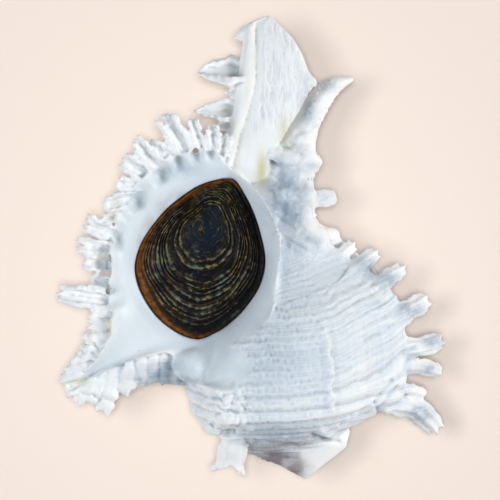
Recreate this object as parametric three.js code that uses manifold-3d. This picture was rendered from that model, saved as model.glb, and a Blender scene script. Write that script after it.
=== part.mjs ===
// A murex shell lying on its back, with the horny operculum that closes its aperture.
// Millimetres, +Z up. +Y runs along the shell to the siphonal canal, and the aperture faces +Z.

import * as THREE from 'three';
import { LoftGeometry } from 'three/addons/geometries/LoftGeometry.js';
import { mergeVertices } from 'three/addons/utils/BufferGeometryUtils.js';
import Module from 'manifold-3d';

const wasm = await Module();
wasm.setup();

const point = (x, y, z) => new THREE.Vector3(x, y, z);
const { degToRad, lerp, clamp } = THREE.MathUtils;

// The spiral rule: each section of the whorl is the lip's section, shrunk about the apex.
const APEX = point(8.5, -75.5, 46);
const AXIS_TILT = 12; // degrees that the canal end stands higher than the spire
const LIP_ANGLE = 160; // degrees round the axis, from +X over +Z, to the lip's section
const EXPANSION = 1.54; // growth in one whorl

// The lip's section as radius from the axis and height from the apex, suture first.
const WHORL_PROFILE = [
  [24, 27.5], [31, 28.5], [38, 32], [44.5, 37], [47.5, 45], [48.5, 54], [48, 66],
  [46.5, 76], [41.5, 84], [35, 90], [27, 96], [19, 103], [15, 110], [13, 118], [11, 126],
];
const WHORL_POINTS = 17;
const SPIRE_PROFILE = [[24, 27.5], [31, 28.5], [38, 32], [44.5, 37], [47.5, 45], [46, 54], [34, 60]];
const SPIRE_POINTS = 6;
const INNER_RADIUS = 4; // the sections stop short of the axis, where the columella fills in
const SPIRE_TURNS = 2;
const LIP_DROP = 5; // how far the last whorl leaves the spire's suture as it nears the lip
const LIP_DROP_FROM = -85;

// Varices, the thick ribs left by former lips, in degrees of growth back from the lip.
const LIP_VARIX = 0;
const BACK_VARIX = -107;
const RIGHT_VARIX = -215;
const FRONT_VARIX = -322;
const VARICES = [LIP_VARIX, BACK_VARIX, RIGHT_VARIX, FRONT_VARIX, -435, -548, -660];
const VARIX_HEIGHTS = [4, 5, 7.5, 5, 5, 4, 4];
const VARIX_BEHIND = 24; // degrees of rise on the older side
const VARIX_AHEAD = 13; // degrees of fall on the newer side
const NODE_RIBS = [-57, -160, -258, -284, -380, -490]; // low ribs between the varices
const NODE_HEIGHT = 1.8;
const NODE_WIDTH = 11;
const CORD_HEIGHT = 0.5; // spiral cords
const CORD_PITCH = 7.5;

const axis = point(0, Math.cos(degToRad(AXIS_TILT)), Math.sin(degToRad(AXIS_TILT)));
const front = point(0, -axis.z, axis.y);
const side = point(1, 0, 0);

// Solids

// A closed three.js geometry as a solid, turned right side out.
function solid(geometry) {
  const bare = new THREE.BufferGeometry().copy(geometry);
  bare.deleteAttribute('normal');
  bare.deleteAttribute('uv');
  const merged = mergeVertices(bare, 1e-4);
  const vertProperties = merged.attributes.position.array;
  const corners = merged.index.array;
  const triVerts = [];
  for (let i = 0; i < corners.length; i += 3) {
    const [a, b, c] = corners.subarray(i, i + 3);
    if (a !== b && b !== c && c !== a) triVerts.push(a, b, c);
  }
  const build = (order) =>
    new wasm.Manifold(new wasm.Mesh({ numProp: 3, vertProperties, triVerts: new Uint32Array(order) }));
  const made = build(triVerts);
  return made.volume() > 0 ? made : build(triVerts.reverse());
}

// Whether a section runs counterclockwise as seen from the next one.
function runsForward(section, next) {
  const normal = point(0, 0, 0);
  const way = point(0, 0, 0);
  section.forEach((p, i) => {
    normal.add(p.clone().sub(section[0]).cross(section[(i + 1) % section.length].clone().sub(section[0])));
    way.add(next[i]).sub(p);
  });
  return normal.dot(way) > 0;
}

function loft(sections) {
  const forward = runsForward(sections[0], sections[1]);
  const ordered = forward ? sections : sections.map((section) => section.toReversed());
  return solid(new LoftGeometry(ordered, { capStart: true, capEnd: true }));
}

const ring = (sections) => solid(new LoftGeometry([...sections, sections[0]]));
const join = (solids) => wasm.Manifold.union(solids);

function geometryOf(manifold) {
  const mesh = manifold.getMesh();
  return new THREE.BufferGeometry()
    .setAttribute('position', new THREE.BufferAttribute(mesh.vertProperties, 3))
    .setIndex(new THREE.BufferAttribute(mesh.triVerts, 1));
}

// The whorls

const growth = (turn) => EXPANSION ** (turn / 360);

// A point of the section that stands `turn` degrees of growth from the lip.
function onSpiral(turn, radius, height) {
  const scale = growth(turn);
  const angle = degToRad(LIP_ANGLE - turn);
  const drop = LIP_DROP * THREE.MathUtils.smoothstep(turn, LIP_DROP_FROM, 0);
  return APEX.clone()
    .addScaledVector(axis, height * scale + drop)
    .addScaledVector(side, radius * scale * Math.cos(angle))
    .addScaledVector(front, radius * scale * Math.sin(angle));
}

// The way the shell was growing at that section.
function growthWay(turn) {
  const angle = degToRad(LIP_ANGLE - turn);
  return side.clone().multiplyScalar(Math.sin(angle)).addScaledVector(front, -Math.cos(angle));
}

// The way out from the axis at that section.
function outWay(turn) {
  const angle = degToRad(LIP_ANGLE - turn);
  return side.clone().multiplyScalar(Math.cos(angle)).addScaledVector(front, Math.sin(angle));
}

const bump = (x) => Math.cos(clamp(x, -1, 1) * Math.PI / 2) ** 2;

// How far a section is swollen by the varices and the low ribs between them.
function swelling(turn, height) {
  const shoulder = THREE.MathUtils.smoothstep(height, 24, 36);
  const neck = 1 - 0.55 * THREE.MathUtils.smoothstep(height, 84, 108);
  const varix = Math.max(...VARICES.map((at, i) =>
    VARIX_HEIGHTS[i] * bump((turn - at) / (turn < at ? VARIX_BEHIND : VARIX_AHEAD))));
  const node = Math.max(...NODE_RIBS.map((at) => bump((turn - at) / NODE_WIDTH)));
  const cords = CORD_HEIGHT * Math.cos(height / CORD_PITCH * 2 * Math.PI) * shoulder;
  return shoulder * neck * (varix + NODE_HEIGHT * node) + cords;
}

const curveThrough = (profile) => new THREE.SplineCurve(profile.map(([r, h]) => new THREE.Vector2(r, h)));
const whorlOutline = curveThrough(WHORL_PROFILE).getPoints(WHORL_POINTS);
const spireOutline = curveThrough(SPIRE_PROFILE).getPoints(SPIRE_POINTS);

function whorlSection(turn, outline) {
  const outside = outline.map((p) => onSpiral(turn, p.x + swelling(turn, p.y), p.y));
  const first = outline[0].y;
  const last = outline[outline.length - 1].y;
  return [...outside, onSpiral(turn, INNER_RADIUS, last), onSpiral(turn, INNER_RADIUS, first)];
}

// Where the sections of a whorl stand: close together on varices and ribs, and no further apart than GAP.
const GAP = 16;
function stations(from, to) {
  const marks = VARICES.flatMap((at) => [at - VARIX_BEHIND, at - 11, at - 3, at + 6, at + VARIX_AHEAD])
    .concat(NODE_RIBS.flatMap((at) => [at - NODE_WIDTH, at, at + NODE_WIDTH]));
  const inside = marks.filter((at) => at > from + 3 && at < to - 3).sort((p, q) => p - q);
  const kept = [from];
  for (const at of [...inside, to]) {
    const last = kept[kept.length - 1];
    if (at !== to && at - last < 4) continue;
    const extra = Math.floor((at - last) / GAP);
    for (let i = 1; i <= extra; i++) kept.push(lerp(last, at, i / (extra + 1)));
    kept.push(at);
  }
  return kept;
}

const WHORL_SPAN = 358; // degrees, so that a whorl never meets its own beginning
const WHORL_LAP = 5; // degrees that a whorl runs on inside the next one
const LAP_SHRINK = 0.985; // keeps that lap inside
function whorls() {
  const made = [];
  for (let n = 0; n <= SPIRE_TURNS; n++) {
    const to = -n * (WHORL_SPAN - WHORL_LAP);
    const outline = n === 0 ? whorlOutline : spireOutline;
    const shrunk = outline.map((p) => p.clone().multiplyScalar(LAP_SHRINK ** n));
    made.push(loft(stations(to - WHORL_SPAN, to).map((turn) => whorlSection(turn, shrunk))));
  }
  return made;
}

// The pillar on the axis, which also closes the tip of the spire.
function columella() {
  const profile = [[0, 4.5], [4.5, 5.4], [8, 8.6], [6, 14], [5.5, 30], [8, 60], [10.5, 84], [10.5, 100], [0, 106]];
  const lathe = new THREE.LatheGeometry(profile.map(([r, h]) => new THREE.Vector2(r, h)), 14);
  const turned = new THREE.Matrix4().makeBasis(front, axis, side).setPosition(APEX);
  return solid(lathe.applyMatrix4(turned));
}

// The aperture

// Pairs of points round the aperture, from the canal over the outer lip: the operculum's edge, the
// shell's margin, and how high the margin stands over the aperture's plane.
const APERTURE = [
  [-6, 22.5, -7.7, 26.7, 2], [-10.9, 22.2, -12.2, 31.3, 3.5], [-16.8, 20.9, -20, 30.3, 4],
  [-22.3, 18.3, -28.2, 27.7, 4.5], [-27.9, 13.4, -34.7, 21.5, 4.5], [-32.8, 6.5, -40.9, 14, 4.5],
  [-36, 1.3, -44.5, 5.2, 4.5], [-38, -5.9, -45.5, -4.6, 4.5], [-37, -12.1, -45.5, -15.6, 4.5],
  [-34.4, -17.6, -46.1, -26.7, 5], [-30.8, -22.5, -49.4, -33.9, 5], [-26.6, -26.1, -50, -41.5, 4],
  [-22, -28.7, -36.3, -36.5, 4], [-17.4, -29.7, -26, -35, 3], [-13.5, -28.4, -18.4, -42, 4],
  [-9.6, -26.4, -12, -37.2, 8], [-4.4, -22.2, -6.4, -33, 11], [-0.5, -17.6, 2.1, -28, 12],
  [2.4, -13, 6.4, -20.9, 10], [4.1, -7.8, 8.3, -12.1, 8], [4.4, -2.3, 9.6, -2.3, 7],
  [3.1, 4.2, 8.3, 5.9, 6.5], [0.8, 11.4, 4.7, 14, 6], [-2.1, 17.3, 0.2, 20.2, 4.5],
];
const APERTURE_STEPS = 36;
const PLANE_HEIGHT = 74; // of the aperture's plane at y = PLANE_AT
const PLANE_AT = -4;
const PLANE_TILT = 8; // degrees
const WALL_DEPTH = 9; // of the aperture's wall below the plane
const LIP_THICKNESS = 2.4;
const FIT_GAP = 0.35; // between the operculum and the shell
const OPERCULUM_THICKNESS = 3;

const planeHeight = (y) => PLANE_HEIGHT + (y - PLANE_AT) * Math.tan(degToRad(PLANE_TILT));
const closedCurve = (points) => new THREE.CatmullRomCurve3(points, true, 'centripetal');
const edgeCurve = closedCurve(APERTURE.map(([x, y]) => point(x, y, 0)));
const marginCurve = closedCurve(APERTURE.map((row) => point(row[2], row[3], row[4])));

// Points on a line from the operculum's edge (0) to the margin (1), at step i round the aperture.
function dish(i, across, lift = 0) {
  const edge = edgeCurve.getPoint(i / APERTURE_STEPS);
  const margin = marginCurve.getPoint(i / APERTURE_STEPS);
  const at = edge.clone().lerp(margin, across);
  at.z = margin.z * Math.max(across, 0) ** 1.4 + lift + planeHeight(at.y);
  return at;
}

const around = (make) => Array.from({ length: APERTURE_STEPS }, (_, i) => make(i));

// The funnel of porcelain from the operculum's edge to the margin, and the lip's back.
function peristome() {
  return ring(around((i) => [
    dish(i, 0, -WALL_DEPTH), dish(i, 0), dish(i, 0.4), dish(i, 0.75), dish(i, 1),
    dish(i, 0.97, -LIP_THICKNESS), dish(i, 0.6, -7), dish(i, 0.25, -WALL_DEPTH - 1),
  ]));
}

// What is cleared out of the whorls for the peristome, a little deeper than its face.
function funnel() {
  const SKY = 60;
  const DEEPER = -1.2;
  return loft([
    around((i) => dish(i, 0.1, -WALL_DEPTH + 1)),
    around((i) => dish(i, 0.12, DEEPER)), around((i) => dish(i, 0.5, DEEPER)),
    around((i) => dish(i, 0.94, DEEPER)), around((i) => dish(i, 0.94, SKY)),
  ]);
}

// The hollow of the last whorl, where the animal lived.
const HOLLOW = { radius: 26, height: 68, across: 15, along: 24, from: 6, to: -235, steps: 14, sides: 10 };
function hollow() {
  const sections = [];
  for (let i = 0; i <= HOLLOW.steps; i++) {
    const turn = lerp(HOLLOW.from, HOLLOW.to, i / HOLLOW.steps);
    const oval = (j) => {
      const angle = j / HOLLOW.sides * 2 * Math.PI;
      return onSpiral(turn, HOLLOW.radius + HOLLOW.across * Math.cos(angle),
        HOLLOW.height + HOLLOW.along * Math.sin(angle));
    };
    sections.push(Array.from({ length: HOLLOW.sides }, (_, j) => oval(j)));
  }
  return loft(sections);
}

// The siphonal canal: stations along Y with the left edge, slit and right edge, front height and depth.
const CANAL = [
  [23.4, -9, -6.2, 5.5, 77, 16], [30, -8.8, -5.4, 7.5, 78.5, 15], [37, -7.4, -3.2, 11, 79, 14],
  [44, -5.8, -1.4, 14.5, 79, 13], [51, -4.6, -0.1, 18, 78.5, 11.5], [57, -3.6, 0.6, 18.6, 78, 10],
  [63, -2.9, 0.8, 16, 77.2, 8], [69, -2.1, 0.6, 11.6, 76, 6], [73, -1.4, 0.5, 8, 75, 4.5],
  [75, -0.8, 1.2, 6, 74.4, 3],
];
const SLIT = 0.9; // half the canal's slit
function canal() {
  return loft(CANAL.map(([y, left, slit, right, top, depth]) => [
    [slit + SLIT, top], [lerp(slit, right, 0.5), top + 0.8], [lerp(slit, right, 0.85), top - 0.8],
    [right, top - 0.35 * depth], [lerp(left, right, 0.75), top - 0.85 * depth],
    [lerp(left, right, 0.4), top - depth], [left + 0.8, top - 0.75 * depth], [left, top - 0.3 * depth],
    [left + 1, top + 0.5], [slit - SLIT, top - 0.2], [slit - SLIT, top - 0.5 * depth],
    [slit + SLIT, top - 0.5 * depth],
  ].map(([x, z]) => point(x, y, z))));
}

// Spines and fronds

const BLADE_SIDES = [-1, -0.45, 0.45, 1]; // across the back of a blade
const BLADE_STATIONS = [0, 0.35, 0.7, 1];
const SHORT_STATIONS = [0, 0.5, 1];
const SHORT = 13; // longest blade with the fewer stations
const ROOT_DEPTH = 2; // that a blade's root is sunk
const TIP_WIDTH = 0.45;

// A blade folded into an open channel: it leaves `base` along `start` and ends at `tip`. `facing` is the
// side its channel opens to, `width` half its breadth, and `wrap` half the fold in degrees.
function blade({ base, start, tip, facing, width, wrap = 75, tipWidth = TIP_WIDTH }) {
  const reach = base.distanceTo(tip);
  const root = base.clone().addScaledVector(start, -ROOT_DEPTH);
  const bend = base.clone().addScaledVector(start, 0.45 * reach);
  const path = new THREE.QuadraticBezierCurve3(root, bend, tip);
  const fold = degToRad(wrap);
  const sections = (reach < SHORT ? SHORT_STATIONS : BLADE_STATIONS).map((along) => {
    const at = path.getPoint(along);
    const way = path.getTangent(along);
    const open = facing.clone().addScaledVector(way, -facing.dot(way)).normalize();
    const across = way.clone().cross(open);
    const size = width * (1 + 0.5 * (1 - along) ** 3) * lerp(1, tipWidth, along ** 2);
    const wall = Math.max(0.45 * size, 0.7);
    const arc = (share, radius) => at.clone()
      .addScaledVector(across, radius * Math.sin(share * fold) / Math.sin(Math.min(fold, Math.PI / 2)))
      .addScaledVector(open, radius * (0.45 - Math.cos(share * fold)));
    const back = BLADE_SIDES.map((share) => arc(share, size));
    const inside = [0.55, -0.55].map((share) => arc(share, size).addScaledVector(open, wall));
    return [...back, ...inside];
  });
  return loft(sections);
}

// Fronds along the margin of the outer lip: place on the margin in APERTURE's rows, tip X and Y, rise of
// the tip over the margin, and half-width.
const LIP_FRONDS = [
  [1.0, -12.6, 39.8, 2, 2.6], [1.5, -19, 41.4, 1, 2.2], [2.1, -28.2, 42.7, 2, 3.6],
  [2.9, -33.1, 33.6, 0, 2.4], [3.3, -37.7, 34.9, 2, 3], [3.8, -41.9, 28.7, 1, 3.2],
  [4.5, -44.2, 19.9, 0, 2.8], [5, -47.4, 13.4, 1, 2.6], [5.5, -48.1, 9.1, 0, 2.2],
  [6.1, -54, 8.5, 1, 3.4], [6.6, -56.9, 1.3, 0, 3], [7.1, -54.6, -4.6, 1, 2.8],
  [7.6, -52.6, -10.4, 0, 2.4], [8.1, -62.4, -14.7, 0, 4], [8.9, -53.5, -24.1, 0, 2.6],
  [9.7, -56, -31, 0, 2.4], [10.3, -61.8, -39.6, -2, 2.6], [11.4, -56.6, -51.5, -3, 2.8],
  [11.7, -48.4, -54.8, -5, 3], [12.1, -40.3, -46, -5, 2.2],
];
const SHOULDER_FROND = { row: 10.9, tip: [-61, -46.2, -1], width: 5, wrap: 60 };

function lipFrond(row, x, y, rise, width, wrap) {
  const step = row / APERTURE.length * APERTURE_STEPS;
  const base = dish(step, 1, -1.3);
  const tip = point(x, y, base.z + rise);
  const start = tip.clone().sub(base).setZ(0).normalize();
  return blade({ base, start, tip, facing: point(0, 0, 1), width, wrap });
}

// Fronds on the canal's left edge: root, tip, half-width.
const CANAL_FRONDS = [
  [[-5.4, 44.6, 77.5], [-19, 44.3, 76], 3.2], [[-4.8, 49, 77], [-14, 49.4, 74], 2],
  [[-3.4, 58.5, 76.5], [-17.8, 57.4, 75], 3.8], [[-2.2, 68, 75.5], [-5.7, 69.6, 74], 2.8],
];

const profileRadius = (height) => {
  const upper = WHORL_PROFILE.findIndex(([, h]) => h >= height);
  const [r0, h0] = WHORL_PROFILE[upper - 1];
  const [r1, h1] = WHORL_PROFILE[upper];
  return lerp(r0, r1, (height - h0) / (h1 - h0));
};

// A spine from a varix's crest, at a height on the section, to a tip.
function varixSpine(turn, height, tip, width) {
  const base = onSpiral(turn, profileRadius(height) + swelling(turn, height), height);
  const start = outWay(turn).add(tip.clone().sub(base).normalize()).normalize();
  return blade({ base, start, tip, facing: growthWay(turn), width, wrap: 85, tipWidth: 0.6 });
}

// Spines of the older varix on the right: height on the section, tip, half-width.
const RIGHT_SPINES = [
  [97, [33.4, 0.3, 58], 2.4], [90.5, [41, -1.5, 57], 3.5], [84, [49.4, -7.8, 56], 3.8],
  [73, [57.2, -18.3, 55], 4.2], [60, [62.4, -31, 53], 4.2], [48, [62.4, -41.4, 51], 3.6],
  [42, [56.9, -47.3, 51], 2.2], [37, [60.8, -60.6, 45], 4.6],
];

// Spines of the varix that shows between the aperture and the spire: root, tip, half-width.
const FRONT_SPINES = [
  [[-5.5, -57, 73], [-11.3, -74.6, 63], 3.3], [[-3.4, -58, 71], [-3, -72, 62], 2.9],
  [[-7, -57.2, 75], [-15.8, -59.3, 75], 2.4],
];

// The varix on the shell's back, whose forked fronds stand on the ground: height, feet, half-width.
const FEET_DEPTH = -1; // feet reach below the ground, where they are cut flat
const BACK_SPINES = [
  [38, [[-10, -54], [20, -56]], 3.6], [52, [[0, -37], [12, -38]], 2.6], [66, [[-11, -15], [21, -13]], 3.4],
  [80, [[-1, 7], [13, 8]], 3], [94, [[4, 22], [12, 23]], 2.4],
];
const BACK_REACH = [FEET_DEPTH, 3, FEET_DEPTH, FEET_DEPTH, 18];

// Spines of the spire's varices: turn, height, length, lean to the apex, half-width.
const SPIRE_SPINES = [
  [-435, 39, 12, 0.8, 3], [-435, 46, 7, 0.2, 2.4], [-548, 40, 4, 0.5, 2.6], [-660, 39, 6, 0.8, 2.2],
];

// The wide frond of the spire that hides the apex, in two wings: root, tip, half-width.
const SPIRE_FROND = [
  [[11, -60, 62], [17.2, -75, 52], 9], [[15, -62, 60], [31, -65, 51], 4.6],
];

function spireSpine(turn, height, length, lean, width) {
  const base = onSpiral(turn, profileRadius(height) + swelling(turn, height), height);
  const way = outWay(turn).addScaledVector(axis, -lean).normalize();
  const tip = base.clone().addScaledVector(way, length);
  return blade({ base, start: outWay(turn).add(way).normalize(), tip, facing: growthWay(turn), width,
    tipWidth: 0.6 });
}

// The fasciole, the bundle of former canals beside the inner lip, which ends in a curved horn: stations
// along it with the centre, half-width and half-depth.
const FASCIOLE = [
  [21, -14, 60, 13, 14], [16.5, 2, 66, 11, 13], [13, 14, 68.5, 9.5, 11], [13.2, 24, 68.5, 8.6, 9],
  [15.2, 32, 66.5, 7.2, 7], [18, 40, 63, 5.6, 5.4], [22, 47, 58.5, 4.6, 4.2], [27, 52, 54, 3.4, 3],
  [33, 55.6, 50, 1.2, 1.2],
];
const FASCIOLE_SIDES = 10;
function fasciole() {
  const path = new THREE.CatmullRomCurve3(FASCIOLE.map(([x, y, z]) => point(x, y, z)));
  return loft(FASCIOLE.map(([, , , width, depth], i) => {
    const at = path.getPoint(i / (FASCIOLE.length - 1));
    const way = path.getTangent(i / (FASCIOLE.length - 1));
    const up = point(0, 0, 1).addScaledVector(way, -way.z).normalize();
    const across = way.clone().cross(up);
    return Array.from({ length: FASCIOLE_SIDES }, (_, j) => {
      const angle = j / FASCIOLE_SIDES * 2 * Math.PI;
      return at.clone().addScaledVector(across, width * Math.cos(angle)).addScaledVector(up, depth * Math.sin(angle));
    });
  }));
}

// Spines on the fasciole's right edge, and a knob on its front: root, tip, half-width.
const FASCIOLE_SPINES = [
  [[19, 26.6, 66], [24, 28.7, 62], 2.6], [[20, 15.2, 65], [28, 16.6, 60], 2.8],
  [[25, 2.4, 63], [31, 4.9, 58], 3.2], [[9.5, 29, 73], [8.6, 33, 75], 2.2],
];

// The smooth lobe of callus between the aperture and the front varix.
const CALLUS = { at: [-16.5, -38.5, 70], size: [6.5, 7.2, 10] };
function callus() {
  return solid(new THREE.SphereGeometry(1, 12, 8).scale(...CALLUS.size).translate(...CALLUS.at));
}

// A spine that runs straight from a root to a tip, its channel open to a side.
function straightSpine(root, end, width, facing, tipWidth) {
  const base = point(...root);
  const tip = point(...end);
  const start = tip.clone().sub(base).normalize();
  return blade({ base, start, tip, facing, width, tipWidth });
}

function spines() {
  const viewer = point(0, -0.2, 1).normalize();
  const backward = point(-0.3, 0, -1).normalize();
  const lip = LIP_FRONDS.map((row) => lipFrond(...row));
  const [x, y, rise] = SHOULDER_FROND.tip;
  lip.push(lipFrond(SHOULDER_FROND.row, x, y, rise, SHOULDER_FROND.width, SHOULDER_FROND.wrap));
  const edge = CANAL_FRONDS.map((row) => straightSpine(...row, viewer));
  const right = RIGHT_SPINES.map(([h, tip, w]) => varixSpine(RIGHT_VARIX, h, point(...tip), w));
  const bundle = FASCIOLE_SPINES.map((row) => straightSpine(...row, backward));
  const fore = FRONT_SPINES.map((row) => straightSpine(...row, viewer));
  const back = BACK_SPINES.flatMap(([h, feet, w], i) =>
    feet.map(([fx, fy]) => varixSpine(BACK_VARIX, h, point(fx, fy, BACK_REACH[i]), w)));
  const spire = SPIRE_SPINES.map((row) => spireSpine(...row));
  const wings = SPIRE_FROND.map((row) => straightSpine(...row, viewer, 0.15));
  return [...lip, ...edge, ...right, ...bundle, ...fore, ...back, ...spire, ...wings];
}

// The pieces

function shell() {
  const body = join([...whorls(), columella()]).subtract(join([funnel(), hollow()]));
  const whole = join([body, peristome(), canal(), fasciole(), callus(), ...spines()]);
  const GROUND = 40;
  const ground = new THREE.BoxGeometry(400, 400, GROUND).translate(0, 0, -GROUND / 2);
  return whole.subtract(solid(ground));
}

// The operculum: a thick plate with the aperture's outline, its face stepped by growth rings.
const RINGS = 2;
const RING_STEP = 0.5;
const NUCLEUS = [-14.5, 9.5]; // where the plate began to grow
function operculum() {
  const outline = (share, lift) => around((i) => {
    const edge = edgeCurve.getPoint(i / APERTURE_STEPS);
    const inward = 1 - FIT_GAP / edge.distanceTo(point(...NUCLEUS, 0));
    const at = point(...NUCLEUS, 0).lerp(edge, share * inward);
    at.z = planeHeight(at.y) + lift;
    return at;
  });
  const sections = [outline(0.98, -OPERCULUM_THICKNESS), outline(1, -1.4)];
  for (let n = 0; n < RINGS; n++) {
    const share = 1 - n / RINGS;
    sections.push(outline(share - 0.03, -0.9 + n * 0.3), outline(share - 0.08, -0.9 + n * 0.3 + RING_STEP));
  }
  return loft(sections);
}

// The object, centred over the middle of its box

const shellSolid = shell();
const { min, max } = shellSolid.boundingBox();
const group = new THREE.Group();
function add(name, manifold, material) {
  const geometry = geometryOf(manifold).translate(-(min[0] + max[0]) / 2, -(min[1] + max[1]) / 2, 0);
  const mesh = new THREE.Mesh(geometry, new THREE.MeshStandardMaterial(material));
  mesh.name = name;
  group.add(mesh);
}
add('shell', shellSolid, { color: 0xe9edf2, roughness: 0.55, metalness: 0 });
add('operculum', operculum(), { color: 0x2a2118, roughness: 0.4, metalness: 0 });

export default group;
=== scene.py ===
"""A murex shell lying on its back, with the horny operculum that closes its aperture.

Shapes are worked out in millimetres in the drawing's own frame, where +Y runs along the shell to the
canal and the aperture faces +Z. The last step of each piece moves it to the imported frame, in metres.
"""
import math

import bmesh
import bpy
import numpy as np
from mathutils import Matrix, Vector
from mathutils.bvhtree import BVHTree


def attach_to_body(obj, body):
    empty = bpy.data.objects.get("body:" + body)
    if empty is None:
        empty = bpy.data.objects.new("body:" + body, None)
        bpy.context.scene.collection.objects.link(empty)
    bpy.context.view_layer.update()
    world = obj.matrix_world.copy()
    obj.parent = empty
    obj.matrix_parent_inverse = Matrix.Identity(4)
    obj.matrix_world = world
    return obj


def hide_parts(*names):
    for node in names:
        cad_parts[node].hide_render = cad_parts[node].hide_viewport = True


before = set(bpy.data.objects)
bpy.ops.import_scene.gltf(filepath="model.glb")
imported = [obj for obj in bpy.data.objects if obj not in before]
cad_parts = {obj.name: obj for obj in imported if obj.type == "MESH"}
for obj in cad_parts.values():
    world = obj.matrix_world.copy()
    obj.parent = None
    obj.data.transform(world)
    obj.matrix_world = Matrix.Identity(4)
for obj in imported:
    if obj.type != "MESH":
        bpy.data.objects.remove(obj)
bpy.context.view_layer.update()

MM = 0.001
CENTRE = np.array([0.698, -0.297, 0.0])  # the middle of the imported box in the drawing's frame
rng = np.random.default_rng(7)

# The spiral rule
APEX = (8.5, -75.5, 46.0)
AXIS_TILT = 12.0  # degrees that the canal end stands higher than the spire
LIP_ANGLE = 160.0  # degrees round the axis, from +X over +Z, to the lip's section
EXPANSION = 1.54  # growth in one whorl
LIP_DROP = 5.0  # how far the last whorl leaves the suture as it nears the lip
LIP_DROP_FROM = -85.0

# The lip's section as radius from the axis and height from the apex, suture first
WHORL_PROFILE = [
    (24, 20.5), (31, 24), (38, 29.5), (44, 35.5), (46.6, 38.6), (47.8, 43), (48.4, 48), (48.5, 54),
    (48, 66), (46.5, 76), (41.5, 84), (35, 90), (27, 96), (19, 103), (15, 110), (13, 118), (11, 126),
]
SPIRE_PROFILE = [
    (24, 20.5), (31, 24), (38, 29.5), (44, 35.5), (46.6, 38.6), (47.8, 43), (48, 48), (46, 54), (34, 60),
]
INNER_RADIUS = 4.0
SPIRE_TURNS = 2
WHORL_SPAN = 358.0
WHORL_LAP = 5.0
LAP_SHRINK = 0.985
TURN_STEP = 1.5  # degrees between sections
PROFILE_STEPS = 150

# Varices, the thick ribs left by former lips, in degrees of growth back from the lip
LIP_VARIX, BACK_VARIX, RIGHT_VARIX, FRONT_VARIX = 0.0, -107.0, -215.0, -322.0
VARICES = [LIP_VARIX, BACK_VARIX, RIGHT_VARIX, FRONT_VARIX, -435.0, -548.0, -660.0]
VARIX_HEIGHTS = [4, 5, 7.5, 5, 5, 4, 4]
VARIX_BEHIND = 24.0
VARIX_AHEAD = 13.0
NODE_RIBS = [-57.0, -160.0, -380.0, -490.0]  # low ribs between the varices
NODE_HEIGHT = 1.8
NODE_WIDTH = 11.0
LIP_RADIUS = 45.0  # about how far the lip's section stands from the axis

# Spiral cords by their height on the section
SPINE_CORDS = [54, 60, 66.5, 73, 78.5, 84, 90.5, 97, 103]  # that lead to the spines
SHOULDER_CORDS = [  # with their rise and width
    (49.6, -0.6, 1.1), (46, 0.45, 1.5), (42.3, -0.55, 0.8), (39, 0.5, 1.6), (34, 0.5, 0.9), (31, 0.5, 0.9),
    (28, 0.5, 0.9),
]
FINE_CORD_PITCH = 3.2  # of the net that fine cords and growth lines make
LINE_PITCH = 3.6  # degrees between growth lines
DIMPLE_DEPTH = 0.62
THREAD_PITCH, THREAD_DEPTH = 2.9, 0.5  # of the grooves that run to the right spines
AXIAL_RIDGE = -261.0  # the turn of one sharp growth ridge on the front
AXIAL_RIDGE_RISE = 1.9
FAN_RISE = 10.0  # that the cords climb to the canal between the ridge and the right varix

# The columella on the axis: radius and height
COLUMELLA = [
    (0.05, 4.5), (4.5, 5.4), (8, 8.6), (6, 14), (5.5, 30), (8, 60), (10.5, 84), (10.5, 100), (0.05, 106),
]

# The aperture, in rows from the canal over the outer lip
APERTURE = np.array([  # the operculum's edge, the shell's margin, and its height over the aperture's plane
    (-6, 22.5, -7.7, 26.7, 2), (-10.9, 22.2, -12.2, 31.3, 3.5), (-16.8, 20.4, -20, 30.3, 4),
    (-22.3, 17, -28.2, 27.7, 4.5), (-27.9, 12.4, -34.7, 21.5, 4.5), (-32.8, 6.5, -40.9, 14, 4.5),
    (-36, 1.3, -44.5, 5.2, 4.5), (-38, -5.9, -45.5, -4.6, 4.5), (-37, -12.1, -45.5, -15.6, 4.5),
    (-34.4, -17.6, -45.2, -26, 5), (-30.8, -22.5, -50.4, -36.2, 5), (-26.6, -26.1, -57, -44, 3.6),
    (-22, -28.7, -37.6, -36.2, 4), (-17.4, -29.7, -26.2, -34.5, 3), (-15.4, -29.2, -24, -40.8, 3.5),
    (-13.8, -28.6, -18.4, -44.6, 4), (-12, -27.7, -13.8, -42.2, 5), (-9.6, -26.4, -11.2, -37.4, 8),
    (-4.4, -22.2, -6.4, -33, 9.8), (-0.5, -17.6, 2.1, -28, 11), (2.4, -13, 6.4, -20.9, 10.4),
    (4.1, -7.8, 8.3, -12.1, 8), (4.4, -2.3, 9.6, -2.3, 7.4), (3.1, 4.2, 8.3, 5.9, 6.8),
    (0.8, 11.4, 4.7, 14, 6), (-2.1, 17.3, 0.2, 20.2, 4.5),
], float)
APERTURE_STEPS = 480
APERTURE_MIDDLE = np.array([-16.0, -4.0])
PLANE_HEIGHT = 74.0
PLANE_AT = -4.0
PLANE_TILT = 8.0
FLATTENED = [(0, -31, 15, 14, 5.5)]  # the body's front beside the callus: middle, half-widths, depth
WALL_DEPTH = 9.0
LIP_THICKNESS = 2.4
LIP_BACK = [  # the back of the lip as shares of the way out and depths
    (1.01, -0.6), (0.99, -LIP_THICKNESS), (0.8, -4.6), (0.6, -7), (0.25, -WALL_DEPTH - 1),
]
SCOOPS = [  # where the fronds' channels open on the lip: place in rows, half-length in rows, depth
    (1.1, 0.27, 2.2), (1.75, 0.27, 2.6), (2.5, 0.32, 2.6), (3.35, 0.4, 2.8), (4.6, 0.5, 3.0),
    (5.35, 0.22, 1.6), (6.1, 0.45, 2.8), (8.1, 0.3, 2.6), (11.0, 0.35, 3.0),
]
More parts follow.
